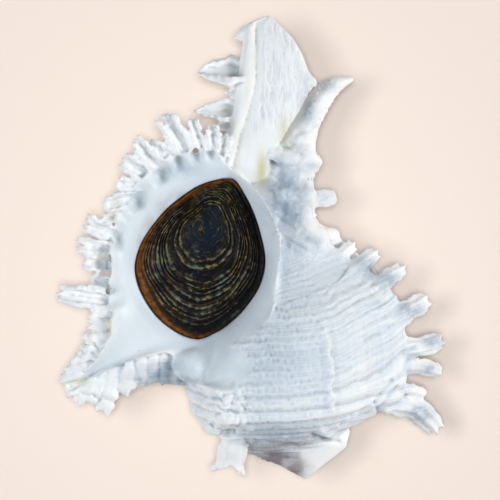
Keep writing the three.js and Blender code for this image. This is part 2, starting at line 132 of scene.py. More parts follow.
DISHES = [  # the dishes at the channels' mouths, sunk and painted with shade: middle, half-widths, depth
    (-18.7, 29.6, 2, 1.8, 1.5), (-13.5, 30.2, 1.8, 1.6, 1.5), (-23.7, 27.2, 1.6, 2.2, 1.6),
    (-29.1, 23, 2.3, 2.2, 2), (-37, 14.8, 3, 2.3, 2.2), (-44, 2.9, 1.8, 2.4, 1.8),
    (-45.6, -6, 1.2, 3, 1.2), (-45.5, -14, 1.4, 1.7, 1.2),
]
LIP_RIDGE = 1.5  # that the margin stands up between the mouths
LIP_SCALLOP = 0.1  # that the margin runs out along each frond, as a share of the lip's width
SCALLOP_SPREAD = 0.09  # its spread in rows, for each millimetre of the frond's half-width
CREST = (6.5, 10.5)  # rows where the margin is a sharp crest with the fronds below it
CALLUS_ROW, CALLUS_SPAN = 14.7, 1.9  # the rounded tongue below the aperture, in rows
CALLUS_RISE, CALLUS_ROLL = 2.4, 3.2
KNOB = np.array([-19, -38.2, 70.4])  # the round end of the callus
KNOB_RADII = np.array([6.8, 5.8, 6.0])
INNER_LIP = (18.5, 20.0)  # rows where the inner lip's thin edge begins

# The hollow where the animal lived, along the whorl
HOLLOW = {"radius": 26.0, "height": 68.0, "across": 15.0, "along": 24.0, "start": 6.0, "end": -235.0}

# The siphonal canal: stations along Y with the left edge, slit and right edge, front height and depth
CANAL = [
    (19.5, -5, -3, 5, 69, 9), (23.4, -9, -6.6, 5.4, 76, 16), (30, -8.6, -4.9, 7, 78, 15),
    (37, -7.5, -3.4, 10.8, 79, 14), (44, -6.4, -0.9, 15.2, 79, 13), (51, -5.4, 0.9, 19.2, 78.5, 11.5),
    (53.6, -5, 1.3, 21.4, 78.3, 11), (57, -4.4, 1.6, 18.7, 78, 10), (63, -3.4, 1.6, 16.4, 77.2, 8),
    (68.5, -2.6, 1.5, 13, 76, 6), (72, -2.2, 1.6, 9.6, 75, 4.5), (73.3, -0.4, 2, 8.4, 74.6, 3.8),
    (74.3, 2.3, 3.4, 7.3, 74.2, 3.2), (75.3, 4.4, 5.1, 6.4, 74, 2.6),
]
SLIT = 0.4

# Fronds on the lip's margin: place in APERTURE's rows, tip X and Y, rise of the tip, half-width
LIP_FRONDS = [
    (0.5, -8, 36.6, 1, 2.2), (1.0, -12.6, 39.8, 2, 2.2), (1.5, -19, 41.4, 1, 1.9),
    (2.1, -28.2, 42.7, 2, 3.4), (2.75, -33.1, 33.6, 0, 2.6), (3.3, -37.7, 34.9, 2, 2.6),
    (3.8, -41.9, 28.7, 1, 3), (4.35, -44.2, 19.9, 0, 2.9), (4.9, -47.4, 13.4, 1, 2.6),
    (5.5, -48.1, 9.1, 0, 1.9), (6.1, -54, 8.5, 1, 2.9), (6.6, -56.9, 1.3, 0, 2.6),
    (7.1, -54.6, -4.6, 1, 2.4), (7.6, -52.6, -10.4, 0, 2.2), (8.1, -62.4, -14.7, 0, 3.4),
    (8.8, -52.4, -20.6, 0, 2.2),
]
SHOULDER_FROND = (11.0, -61.4, -46, -1, 3)
LIP_LOBES = [  # the frilled folds round the lip's shoulder: root, tip, half-width
    ((-44.8, -20.6, 74.4), (-52.6, -21.6, 72.6), 1.8), ((-45, -24.6, 74), (-53.2, -25.6, 72.6), 1.9),
    ((-46.6, -28.4, 73.8), (-54.4, -29.8, 72.2), 2), ((-48.6, -31.6, 73.4), (-56.2, -33.4, 72), 1.9),
    ((-50.6, -35, 73), (-58.4, -36.8, 71.6), 2), ((-53, -38.2, 72.6), (-60.6, -39.8, 71), 1.9),
    ((-56.2, -41.4, 72), (-62.2, -42.8, 70.6), 1.6), ((-52.4, -44.4, 70.3), (-57, -51.4, 67.3), 2.3),
    ((-48.4, -42.8, 70.7), (-52.4, -50.6, 67.7), 2.1), ((-44.8, -41.4, 71.1), (-48.2, -54.4, 67.3), 2.8),
    ((-40.4, -39.4, 71.5), (-41.6, -47.6, 67.3), 3.2), ((-36, -37.4, 71.3), (-36.4, -44.6, 66.3), 2.6),
    ((-32.2, -36.2, 70.8), (-32.6, -44, 65.3), 2.7), ((-28.4, -35.8, 70.3), (-28.2, -44.2, 65.3), 2.3),
    ((-25.4, -35.4, 69.3), (-25, -44, 64.3), 2.2),
]
UNDER_LIP = -44.0  # where the body ends below the lip
CANAL_FRONDS = [  # root, tip, open side, half-width
    ((-4.6, 56.6, 76.5), (-17.6, 57.2, 75), (0, 0.7, 0.7), 7.2),
    ((-5.6, 44.6, 77), (-18.7, 44.3, 76), (0, 0.15, 1), 4.2),
    ((-6.4, 39.6, 76.5), (-12.4, 39.2, 76), (0, 0.1, 1), 2.4),
    ((-1.4, 69.6, 74.5), (-5.9, 68, 73.5), (0, 0.3, -1), 3.0),
    ((-5, 50.4, 77), (-8.6, 50, 75), (0, 0.2, 1), 2.2),
]
RIGHT_SPINES = [  # root as seen from the front, tip, half-width, how far the middle bends to the canal
    ((28.6, -3.4), (33.4, 0.6, 60), 2.5, 0.4), ((32.6, -8), (41, -2, 59), 2.7, 0.8),
    ((39.2, -14), (49.4, -7.3, 58), 2.8, 0.8), ((46.4, -23), (57.3, -17.3, 57), 3.4, 0.2),
    ((49, -32.6), (62.4, -29.8, 55), 3.1, -1.0), ((50, -38.4), (62, -40.6, 53), 2.6, 0.8),
    ((49.6, -45.4), (57, -47.8, 52), 1.8, 0.2), ((44.6, -51.6), (61.6, -59.8, 47), 3.7, 2.6),
]
FRONT_SPINES = [  # root, tip, open side, half-width, share of it at the tip
    ((-4, -57, 73), (-7.6, -73.2, 62), (0, 0.45, -0.9), 4.1, 1.3),
    ((-7, -57.2, 75), (-15.6, -59.8, 74), (0, 0.3, -1), 2.8, 0.35),
    ((-3.4, -60.5, 69), (3.2, -63.6, 66), (0, 0.3, -1), 2.2, 0.2),
]
FEET_DEPTH = -1.0
BACK_SPINES = [  # height on the section, feet, how low they reach, half-width
    (38, ((-10, -54), (20, -56)), FEET_DEPTH, 3.6), (52, ((0, -37), (12, -38)), 3, 2.6),
    (66, ((-11, -15), (21, -13)), FEET_DEPTH, 3.4), (80, ((-1, 7), (13, 8)), FEET_DEPTH, 3),
    (94, ((4, 22), (12, 23)), 18, 2.4),
]
SPIRE_SPINES = [  # turn, height on the section, length, lean to the apex, half-width
    (-435, 39, 12, 0.8, 3), (-435, 46, 7, 0.2, 2.4), (-548, 40, 4, 0.5, 2.6),
]
SPIRE_KEEL = ((15.6, -64.3, 68), (17.6, -75.8, 59))  # where the two faces of the spire's fold meet
SPIRE_WINGS = [  # the far corners of each face
    ((1.6, -63.4, 66), (0.8, -66.6, 64)), ((29.8, -62, 61.5), (31, -65.2, 59.5)),
]
SPIRE_EDGE = (0.4, -67.1)  # where the fold's left edge begins
SPIRE_SLOPE = -0.488
SPIRE_DEPTH = (1.5, 5.0, -9.0)  # from each corner to the one under it

# The fasciole and its horn: centre, half-width and half-depth at stations along it
FASCIOLE = [
    (21, -15, 46, 13, 13), (14.6, 2, 61.5, 9.8, 12.2), (11.8, 12, 67, 8.6, 10.8),
    (12.2, 24, 68.3, 8.4, 8.6), (14.2, 33, 68, 6.8, 6.6), (17.4, 40, 67.5, 4.9, 5.4),
    (20.8, 46.5, 65.5, 4.5, 4.4), (26, 52.6, 61.5, 3.3, 3), (33.2, 55.4, 57, 0.7, 0.7),
]
FASCIOLE_SPINES = [  # root, tip, half-width, share of it at the tip
    ((14, 28.6, 75), (5.6, 31.3, 78), 2.9, 0.8), ((16.6, 26, 68), (23.4, 28.3, 64), 4.4, 0.08),
    ((15.5, 14.4, 67), (27.4, 16.6, 61), 2.7, 0.95), ((20, 2.6, 64), (28.6, 4.8, 59), 3.4, 0.45),
    ((23.6, -1, 62.5), (29.6, 2.2, 58.5), 3.6, 0.5),
]
FASCIOLE_SIDE = [(13, 17, 11, 13, 1)]  # where it hides the cords
FASCIOLE_SKIN = [(15, 18, 10, 24, 1)]  # where it is scaly
FASCIOLE_SCALES = 0.32  # the rise of its scales
HORN = [(23, 47, 8, 10, 1)]  # where the horn's grain shows

# Folds (+) and creases (-) of the front: both ends, half-width and rise
MARKS = [
    (-15.4, -44.4, -11.4, -46.4, 1.6, 1.3), (-12.4, -48.4, -9.4, -47.8, 0.7, -1.2),
    (-10.4, -53.6, -6.4, -52.8, 0.7, -1.0), (-9.6, -60.2, -5.4, -59.6, 0.8, -1.6),
    (-12.8, -57.8, -5, -55.8, 1.4, 1.2), (-5.4, -44.6, -3.6, -48.6, 1.0, 0.9),
    (-4.4, -50.4, -2.4, -55.6, 0.9, 0.9), (-3, -57, 0, -58.4, 0.9, 0.8), (1.5, -63, 15, -64.4, 0.8, -1.2),
    (12, 29.2, 20, 28.4, 2.4, 1.4), (10, 22.8, 20, 22.4, 2.6, -1.3), (9, 17.4, 23, 16.8, 2.6, 1.3),
    (11, 10, 22, 10.4, 2.6, -1.3), (10, 4.4, 24, 4.4, 2.4, 1.2), (13, 33.6, 20, 34.6, 1.0, -0.7),
    (18, 2.4, 21, 1, 1.8, -1.2), (14.6, 37.6, 22, 39, 0.9, -0.6), (-13.2, -34, -13.4, -41, 2.2, 0.6),
    (29, -57.4, 41, -52.8, 0.7, -1.1), (41, -52.8, 47.4, -45.4, 0.7, -1.0),
    (32, -54.4, 40, -50.4, 0.6, -0.8), (40, -50.4, 45.6, -43.2, 0.6, -0.8),
    (22.5, -58.8, 27.4, -61.4, 1.3, 1.5), (20, -60.8, 28.4, -63.2, 0.8, -1.3),
]
GNARLED = [  # the lumpy folds of the front varix and of the lip's low corner: middle, half-widths, rise
    (-8.5, -51, 6, 9.5, 2.7), (-52.6, -31, 4.6, 10, 2.2), (-49, -47, 8, 3.6, 1.4),
]
FASCIOLE_SEAM = [(17, -9, 15, 9, 1)]  # where the fasciole flows into the body
SEAM = [*FASCIOLE_SEAM, (-2.6, -31.5, 8, 7, 1), (-13, -35.4, 5, 6, 1)]  # and where the glaze does
GLAZE_SPREAD = [(-8, -39, 7.5, 7.5, 1)]  # where the glaze runs out over the body

# Faint colour of the front, stains and painted shade: middle, half-widths and strength
OLIVE = [
    (3.3, 25.5, 1.7, 5, 0.9), (10.4, 38.5, 1.4, 5, 0.5), (-7.6, 44.3, 1.6, 1.3, 0.5),
    (-43.8, 15, 1.3, 1.3, 0.4), (-44.8, 9.8, 1.2, 1.4, 0.4), (-49, -3.6, 1.6, 1.2, 0.45),
    (-46, -25.5, 0.9, 3, 0.5), (-56, -43.4, 4, 1, 0.5), (1, 62, 1.1, 9, 0.22), (-1.2, 48, 1.2, 9, 0.22),
    (-4.4, 33, 1.2, 8, 0.25),
]
# A faint lilac stain below the aperture and along the suture, and painted shade on the spire fold's left
# face
LILAC_AND_SHADE = [
    (-17.3, -50.5, 3, 6, 0.12), (8, -69, 6, 4.6, 1.2), (13.6, -72, 3.6, 3.4, 1.3), (12, -69, 4, 3.2, 1.4),
    (9, -64.4, 9, 1.4, 0.9),
]
# The first four: painted shade where the glaze drops to the operculum's upper-left edge; the rest: a tan
# stain at the spire and suture
TAN_AND_SHADE = [
    (-24, 17.6, 3, 1.3, 0.6), (-29.3, 13.2, 2, 2.2, 0.6), (-33.2, 8.2, 1.5, 3, 0.6),
    (-36.2, 2.4, 0.9, 3, 0.5), (14.6, -72.6, 3, 2.4, 0.6), (3, -65.4, 3, 1.4, 0.5), (16, -64, 4, 1, 0.5),
]
# Painted shade: faces turned from the light, recesses, and the shaded sides of horn, fasciole and spines
PAINTED_SHADE = [
    (11.5, 16, 7, 13, 1.5), (9.4, 27.4, 3.6, 4, 1), (23.6, 16.4, 4, 2, 0.8), (19.6, 26.6, 3, 2, 0.8),
    (18.2, 45.4, 3, 7, 1), (24.4, 52.6, 4, 2, 0.8), (6, -33, 20, 15, 0.45), (16, 2.5, 8, 4, 0.9),
    (10.6, -6, 1.8, 11, 0.7), (9, -60, 13, 3.4, 1.2), (-21.5, 25.4, 8, 2.6, 0.8),
    (-17.5, -38, 4.5, 5, 0.65), (5.6, -5, 2.4, 13, 0.35), (13.4, -72, 4, 2.4, 0.6),
    (37.6, -5.6, 4, 3, 1.3), (45, -10.4, 3.8, 3, 1.4), (52.3, -20.5, 4.6, 2.8, 1.4),
    (59.4, -30.7, 4, 2.2, 1.3), (57.6, -39.6, 4, 2, 1.2), (53.4, -35, 3, 1, 0.9), (30, -8, 4, 2, 0.4),
    (41, -17.6, 3, 1.6, 0.5), (-31, -40.8, 8, 3.2, 1.4), (-28.6, -43.8, 8, 1.6, 1.4),
    (55, -54.4, 6, 3.6, 1.2), (55, -43, 4, 4, 0.4), (-22, -42.4, 5, 2.4, 1.2), (-27, -38.8, 8, 2.4, 1.2),
]

# The operculum
FIT_GAP = 0.35
NUCLEUS = np.array([-14.5, 9.5])
OPERCULUM_THICKNESS = 3.0
OPERCULUM_BACK = [  # its back and edge as shares of the way out and depths
    (0.02, -OPERCULUM_THICKNESS), (0.97, -OPERCULUM_THICKNESS), (1.0, -2.6), (1.0, -1.4),
]
OPERCULUM_SIDES = 260
OPERCULUM_CROWN = 1.2
RINGS, RING_RISE = 13, 0.6
RING_SECTIONS = 180
AMBER_RIM = [  # the breadth of the brown rim, by degrees round the nucleus
    (0, 0), (35, 0), (57, 1.0), (90, 1.7), (135, 1.8), (165, 0.8), (190, 2.2), (213, 3.8), (235, 2.8),
    (250, 1.6), (266, 0.7), (282, 0), (360, 0),
]

# The section of every frond and spine
FROND_WRAP = 70.0  # degrees of the channel's fold on each side
FROND_WALL = 0.36  # its wall, as a share of its half-width
FLUTES = 10.0
ROOT_DEPTH = 2.5  # that its root is sunk
FROND_VALUES = {"Crumple": 1.7, "Crumple size": 2.8, "Rim frill": 1.3, "Rim pitch": 1.1}

# Mesh fineness
VOXEL = 0.45
SKIN_ROUNDS = 8  # of smoothing all over
SEAM_ROUNDS = 110  # of smoothing at the seams
SHELL_TRIANGLES = 190000
CRUMB_POINTS = 200  # below which a loose bit is removed

BACKWARD = np.array([-0.287, 0, -0.958])  # the open side of the right varix's spines

# Colours of the shell, with tints for painted shade in hollows, dimples, dishes and shaded faces, and a
# white for the painted highlight on crests
CHALK = ((0.77, 0.83, 0.89), (0.85, 0.885, 0.915))  # between which the wall is mottled
TINTS = {
    "frond": (0.97, 0.97, 0.97), "net": (0.6, 0.68, 0.78), "crest": (0.98, 0.98, 0.975),
    "hollow": (0.56, 0.6, 0.64), "thread": (0.6, 0.67, 0.75), "streak": (0.55, 0.62, 0.68),
    "glaze": (0.83, 0.88, 0.91), "ring": (0.68, 0.74, 0.82), "foot": (0.52, 0.58, 0.68),
    "grey": (0.42, 0.51, 0.6), "dish": (0.5, 0.57, 0.58), "olive": (0.62, 0.56, 0.26),
    "lilac": (0.26, 0.22, 0.25), "tan": (0.3, 0.2, 0.18),
}
STREAK_SCALES = (1500.0, 190.0, 300.0)  # of the canal plate's streaks across, along and through it

# Colours of the operculum
HORN_STOPS = [
    (0.16, (0.001, 0.002, 0.004)), (0.35, (0.006, 0.007, 0.009)), (0.54, (0.045, 0.042, 0.028)),
    (0.95, (0.27, 0.22, 0.11)),
]
BLUE_CAST, GOLD_CAST = (0.55, 0.95, 1.4), (1.35, 1.05, 0.5)
RUST, BLUE_BLACK, SHADE_BROWN = (0.1, 0.036, 0.008), (0.003, 0.011, 0.022), (0.002, 0.0015, 0.001)
AMBER = ((0.075, 0.02, 0.002), (0.24, 0.085, 0.012))

# The picture, in metres
FLOOR_SIZE = 3.0
FLOOR_COLOUR = (0.86, 0.755, 0.685, 1.0)
CAMERA_DISTANCE = 2.0  # above the level at which the picture is as wide as PICTURE_WIDTH
PICTURE_LEVEL = 0.065
PICTURE_WIDTH = 0.163
PICTURE_MIDDLE = (-0.0012, -0.00035)
SKY_COLOUR = (0.8, 0.91, 1.0, 1.0)
SKY_STRENGTH = 0.13
SHELL_LAMPS = [  # name, place, aim, size, power and colour
    ("key", (0.95, 0.05, 0.75), (0, 0, 0.05), 0.5, 9.6, (1.0, 0.985, 0.965)),
    ("fill", (-0.9, -0.25, 0.6), (0, 0, 0.05), 0.8, 5.9, (0.97, 0.99, 1.0)),
    ("sky", (0, 0, 1.0), (0, 0, 0), 4.0, 10.5, (0.76, 0.89, 1.0)),
]
FLOOR_LAMPS = [
    ("paper", (0, 0, 3.0), (0, 0, 0), 0.2, 57.0, (1.0, 0.98, 0.97)),
    ("drop", (-0.35, 0.02, 2.4), (0, 0, 0), 0.35, 16.0, (1.0, 0.98, 0.965)),
]


# Node trees

class Wire:
    """An output of a node, with operators that add Math nodes to its tree."""

    def __init__(self, bench, socket):
        self.bench = bench
        self.socket = socket

    def __add__(self, other):
        return self.bench.math("ADD", self, other)

    def __radd__(self, other):
        return self.bench.math("ADD", other, self)

    def __sub__(self, other):
        return self.bench.math("SUBTRACT", self, other)

    def __rsub__(self, other):
        return self.bench.math("SUBTRACT", other, self)

    def __mul__(self, other):
        return self.bench.math("MULTIPLY", self, other)

    def __rmul__(self, other):
        return self.bench.math("MULTIPLY", other, self)

    def __truediv__(self, other):
        return self.bench.math("DIVIDE", self, other)

    def __rtruediv__(self, other):
        return self.bench.math("DIVIDE", other, self)


class Bench:
    """Adds nodes to one tree."""

    def __init__(self, tree):
        self.tree = tree

    def node(self, kind, settings=None, sockets=None, output=0):
        made = self.tree.nodes.new(kind)
        for name, value in (settings or {}).items():
            if name == "stops":
                self.set_stops(made.color_ramp, value)
            else:
                setattr(made, name, value)
        for name, value in (sockets or {}).items():
            socket = made.inputs[name]
            if isinstance(value, Wire):
                self.tree.links.new(value.socket, socket)
            else:
                socket.default_value = value
        return Wire(self, made.outputs[output]) if len(made.outputs) else made

    @staticmethod
    def set_stops(ramp, stops):
        while len(ramp.elements) < len(stops):
            ramp.elements.new(1.0)
        for element, (at, colour) in zip(ramp.elements, stops):
            element.position = at
            element.color = (*colour, 1.0)

    def math(self, operation, first, second=0.0, clamp=False):
        settings = {"operation": operation, "use_clamp": clamp}
        return self.node("ShaderNodeMath", settings, {0: first, 1: second})

    def vector(self, x, y, z):
        return self.node("ShaderNodeCombineXYZ", None, {0: x, 1: y, 2: z})

    def range(self, value, low, high, start=0.0, end=1.0, way="SMOOTHSTEP"):
        sockets = {"Value": value, "From Min": low, "From Max": high, "To Min": start, "To Max": end}
        return self.node("ShaderNodeMapRange", {"interpolation_type": way}, sockets)

    def mix(self, factor, first, second, blend="MIX"):
        made = self.tree.nodes.new("ShaderNodeMix")
        made.data_type = "RGBA"
        made.blend_type = blend
        for socket, value in zip((made.inputs[0], made.inputs[6], made.inputs[7]), (factor, first, second)):
            if isinstance(value, Wire):
                self.tree.links.new(value.socket, socket)
            else:
                socket.default_value = value if socket == made.inputs[0] else (*value, 1.0)
        return Wire(self, made.outputs[2])

    def scale(self, vector, factor):
        return self.node("ShaderNodeVectorMath", {"operation": "SCALE"}, {0: vector, "Scale": factor})

    def less(self, vector, other):
        return self.node("ShaderNodeVectorMath", {"operation": "SUBTRACT"}, {0: vector, 1: other})

    def noise(self, vector, scale, detail):
        sockets = {"Vector": vector, "Scale": scale, "Detail": detail}
        return self.node("ShaderNodeTexNoise", None, sockets, "Fac")

    def bumped(self, height, strength, distance):
        sockets = {"Strength": strength, "Distance": distance, "Height": height}
        return self.node("ShaderNodeBump", None, sockets, "Normal")

    def kept(self, name):
        """An attribute of the mesh, for a finish."""
        return self.node("ShaderNodeAttribute", {"attribute_name": name}, None, "Fac")

    def laid(self, name, kind="FLOAT"):
        """An attribute of the mesh, for a shape."""
        return self.node("GeometryNodeInputNamedAttribute", {"data_type": kind}, {"Name": name})

    def layers(self, colour, coats):
        """A colour under coats, each a share and a tint."""
        for share, tint in coats:
            colour = self.mix(share, colour, tint)
        return colour


def shape_tree(name, inputs):
    """A geometry tree with named inputs: its bench and the wires of its inputs."""
    tree = bpy.data.node_groups.new(name, "GeometryNodeTree")
    tree.interface.new_socket("Geometry", in_out="INPUT", socket_type="NodeSocketGeometry")
    for label, kind in inputs.items():
        tree.interface.new_socket(label, in_out="INPUT", socket_type=kind)
    tree.interface.new_socket("Geometry", in_out="OUTPUT", socket_type="NodeSocketGeometry")
    bench = Bench(tree)
    entry = tree.nodes.new("NodeGroupInput")
    wires = {socket.name: Wire(bench, socket) for socket in entry.outputs if socket.name}
    return bench, wires


def end_tree(bench, geometry, material):
    """The last nodes of a tree: instances made real, and the material."""
    real = bench.node("GeometryNodeRealizeInstances", None, {"Geometry": geometry})
    painted = bench.node("GeometryNodeSetMaterial", None, {"Geometry": real, "Material": material})
    exit_node = bench.tree.nodes.new("NodeGroupOutput")
    bench.tree.links.new(painted.socket, exit_node.inputs["Geometry"])


def grown(piece, tree, values):
    """The piece's mesh after the tree, with the tree's inputs set by their identifiers."""
    modifier = piece.modifiers.new(tree.name, "NODES")
    modifier.node_group = tree
    for item in tree.interface.items_tree:
        if item.in_out == "INPUT" and item.name in values:
            modifier[item.identifier] = values[item.name]
    return settled(piece)


# Meshes

def settled(piece):
    """Turns a piece's evaluated shape into its plain mesh and removes its modifiers."""
    depsgraph = bpy.context.evaluated_depsgraph_get()
    mesh = bpy.data.meshes.new_from_object(piece.evaluated_get(depsgraph))
    piece.modifiers.clear()
    old = piece.data
    piece.data = mesh
    bpy.data.meshes.remove(old)
    return piece


def mesh_piece(name, points, faces=(), edges=()):
    mesh = bpy.data.meshes.new(name)
    mesh.from_pydata([tuple(p) for p in points], list(edges), list(faces))
    piece = bpy.data.objects.new(name, mesh)
    bpy.context.scene.collection.objects.link(piece)
    return piece


def attach(mesh, name, values, kind="FLOAT"):
    field = {"FLOAT": "value", "FLOAT_VECTOR": "vector"}[kind]
    made = mesh.attributes.new(name, kind, "POINT")
    made.data.foreach_set(field, np.asarray(values, np.float32).ravel())


def points_of(mesh):
    flat = np.empty(len(mesh.vertices) * 3, np.float32)
    mesh.vertices.foreach_get("co", flat)
    return flat.reshape(-1, 3).astype(float)


def set_points(mesh, points):
    mesh.vertices.foreach_set("co", np.asarray(points, np.float32).ravel())
    mesh.update()


def tube_faces(sections, sides, closed=False):
    """Faces of a tube whose points run round each section in turn, with ends unless it is closed."""
    faces = []
    for i in range(sections if closed else sections - 1):
        low = i * sides
        high = (i + 1) % sections * sides
        for j in range(sides):
            k = (j + 1) % sides
            faces.append((low + j, low + k, high + k, high + j))
    if not closed:
        faces.append(tuple(range(sides))[::-1])
        faces.append(tuple(range((sections - 1) * sides, sections * sides)))
    return faces


def tube_piece(name, sections, closed=False):
    sections = np.asarray(sections, float)
    count, sides = sections.shape[:2]
    piece = mesh_piece(name, sections.reshape(-1, 3), tube_faces(count, sides, closed))
    face_out(piece.data)
    return piece


def face_out(mesh):
    work = bmesh.new()
    work.from_mesh(mesh)
    bmesh.ops.recalc_face_normals(work, faces=work.faces)
    work.to_mesh(mesh)
    work.free()


def drop_fins(mesh):
    """Removes faces that lie back to back on the same points."""
    work = bmesh.new()
    work.from_mesh(mesh)
    alike = {}
    for face in work.faces:
        alike.setdefault(frozenset(vert.index for vert in face.verts), []).append(face)
    fins = [face for faces in alike.values() if len(faces) > 1 for face in faces]
    bmesh.ops.delete(work, geom=fins, context="FACES")
    work.to_mesh(mesh)
    work.free()


def drop_crumbs(mesh):
    """Removes bits of few points that hang on nothing."""
    work = bmesh.new()
    work.from_mesh(mesh)
    left = set(work.verts)
    crumbs = []
    while left:
        bit = [left.pop()]
        for vert in bit:
            others = [edge.other_vert(vert) for edge in vert.link_edges]
            fresh = [other for other in others if other in left]
            left.difference_update(fresh)
            bit.extend(fresh)
        if len(bit) < CRUMB_POINTS:
            crumbs.extend(bit)
    bmesh.ops.delete(work, geom=crumbs, context="VERTS")
    work.to_mesh(mesh)
    work.free()


def gather(name, pieces):
    """One piece made of several, which are removed."""
    work = bmesh.new()
    for piece in pieces:
        work.from_mesh(piece.data)
        bpy.data.objects.remove(piece)
    mesh = bpy.data.meshes.new(name)
    work.to_mesh(mesh)
    work.free()
    whole = bpy.data.objects.new(name, mesh)
    bpy.context.scene.collection.objects.link(whole)
    return whole


def cut(piece, tool, operation):
    modifier = piece.modifiers.new("cut", "BOOLEAN")
    modifier.operation = operation
    modifier.solver = "MANIFOLD"
    modifier.object = tool
    settled(piece)
    bpy.data.objects.remove(tool)


# Curves and waves

def smooth(value, low, high):
    share = np.clip((np.asarray(value, float) - low) / (high - low), 0, 1)
    return share * share * (3 - 2 * share)


def bump(value):
    return np.cos(np.clip(value, -1, 1) * math.pi / 2) ** 2


def unit(vectors):
    return vectors / np.maximum(np.linalg.norm(vectors, axis=-1, keepdims=True), 1e-9)


def through(rows, at, closed=False):
    """Points at row numbers `at` on the smooth curve through rows of any width."""
    rows = np.asarray(rows, float)
    at = np.atleast_1d(np.asarray(at, float))
    if not closed:
        rows = np.vstack([2 * rows[0] - rows[1], rows, 2 * rows[-1] - rows[-2]])
        low = np.clip(np.floor(at), 0, len(rows) - 4).astype(int) + 1
        share = at - low + 1
    else:
        low = np.floor(at).astype(int)
        share = at - low
    before, start, end, after = (rows[(low + k) % len(rows)] for k in (-1, 0, 1, 2))
    first, middle, last = (
        np.linalg.norm(q - p, axis=1, keepdims=True) ** 0.5
        for p, q in ((before, start), (start, end), (end, after))
    )
    leave = middle * ((start - before) / first - (end - before) / (first + middle) + (end - start) / middle)
    arrive = middle * ((end - start) / middle - (after - start) / (middle + last) + (after - end) / last)
    s = share[:, None]
    return (
        (2 * s**3 - 3 * s**2 + 1) * start + (s**3 - 2 * s**2 + s) * leave
        + (3 * s**2 - 2 * s**3) * end + (s**3 - s**2) * arrive
    )


def wander(value, seed, pitch):
    """A smooth wandering between about -1 and 1, with swings about `pitch` long."""
    draw = np.random.default_rng(seed)
    total = 0.0
    for share in (1.0, 0.61, 0.37):
        total = total + np.sin(np.asarray(value) / (pitch * share) * 2 * math.pi + draw.uniform(0, 6.3))
    return total / 3


# The whorls

AXIS = np.array([0, math.cos(math.radians(AXIS_TILT)), math.sin(math.radians(AXIS_TILT))])
FRONT = np.array([0, -AXIS[2], AXIS[1]])
SIDE = np.array([1.0, 0, 0])


def way_out(turn):
    angle = math.radians(LIP_ANGLE - turn)
    return SIDE * math.cos(angle) + FRONT * math.sin(angle)


def way_on(turn):
    angle = math.radians(LIP_ANGLE - turn)
    return SIDE * math.sin(angle) - FRONT * math.cos(angle)


def on_spiral(turn, radius, height):
    scale = EXPANSION ** (turn / 360)
    drop = LIP_DROP * float(smooth(turn, LIP_DROP_FROM, 0))
    return np.array(APEX) + AXIS * (height * scale + drop) + way_out(turn) * radius * scale


def swelling(turn, height):
    """How far varices and low ribs swell the section."""
    shoulder = smooth(height, 24, 38)
    neck = 1 - 0.55 * smooth(height, 84, 108)
    varix = 0.0
    for at, rise in zip(VARICES, VARIX_HEIGHTS):
        width = np.where(turn < at, VARIX_BEHIND, VARIX_AHEAD)
        tall = 1 - 0.9 * smooth(height, 48, 60) * (at == FRONT_VARIX)
        varix = np.maximum(varix, rise * tall * bump((turn - at) / width))
    node = 0.0
    for at in NODE_RIBS:
        node = np.maximum(node, bump((turn - at) / NODE_WIDTH))
    return shoulder * neck * (varix + NODE_HEIGHT * node)


def worn(turn):
    """Where the net of dimples is worn away, from the growth ridge to the right varix."""
    begun = smooth(turn, AXIAL_RIDGE - 10, AXIAL_RIDGE + 8)
    return begun * (1 - smooth(turn, RIGHT_VARIX - 5, RIGHT_VARIX + 10))


def fanned(turn, height):
    """The height of the cord at each place, where the cords fan out to the right spines."""
    share = np.clip((turn - AXIAL_RIDGE + 8) / (RIGHT_VARIX - AXIAL_RIDGE + 8), 0, 1) ** 1.4
    return height - FAN_RISE * share * smooth(height, 44, 60) * (1 - 0.6 * smooth(height, 72, 92))


def dimples(turn, height):
    """The net of dimples between fine cords and growth lines."""
    waver = 0.6 * wander(turn, 3, 26) + 0.35 * wander(turn, 5, 9)
    between_cords = 0.5 - 0.5 * np.cos((height + waver) / FINE_CORD_PITCH * 2 * math.pi)
    stagger = 0.5 * LINE_PITCH * np.round((height + waver) / FINE_CORD_PITCH - 0.5)
    drift = stagger + 1.2 * wander(turn + 0.2 * height, 19, 17)
    between_lines = 0.5 - 0.5 * np.cos((turn + drift) / LINE_PITCH * 2 * math.pi)
    strength = 0.6 + 0.4 * wander(turn * 0.8 + height, 7, 31)
    return between_cords * (0.3 + 0.7 * between_lines) * strength * (1 - 0.8 * worn(turn))


def threads(turn, height, cord):
    """The depth of the grooves that run to the right spines."""
    across = cord + 0.8 * wander(turn, 45, 37) + 0.7 * wander(cord, 49, 13)
    groove = (0.5 + 0.5 * np.cos(across / THREAD_PITCH * 2 * math.pi)) ** 2
    strength = 0.6 + 0.4 * wander(turn + 2 * cord, 51, 29)
    return THREAD_DEPTH * groove * worn(turn) * smooth(height, 46, 50) * strength


def axial_ridge(turn, height):
    """The rise of the sharp ridge where growth once paused."""
    lean = turn - AXIAL_RIDGE + 0.06 * (height - 55) + 1.5 * wander(height, 17, 21)
    ridge = np.exp(-((lean / np.where(lean > 0, 1.3, 3.0)) ** 2))
    ends = smooth(height, 38, 44) * (1 - smooth(height, 70, 84))
    return AXIAL_RIDGE_RISE * ridge * ends * (0.7 + 0.3 * wander(height, 23, 9))


def near_varix(turn):
    """How near each place is to a varix, mostly behind it."""
    near = np.zeros_like(turn)
    for at in VARICES:
        near = np.maximum(near, smooth(turn, at - 46, at - 2) * (1 - smooth(turn, at + 8, at + 40)))
    return near


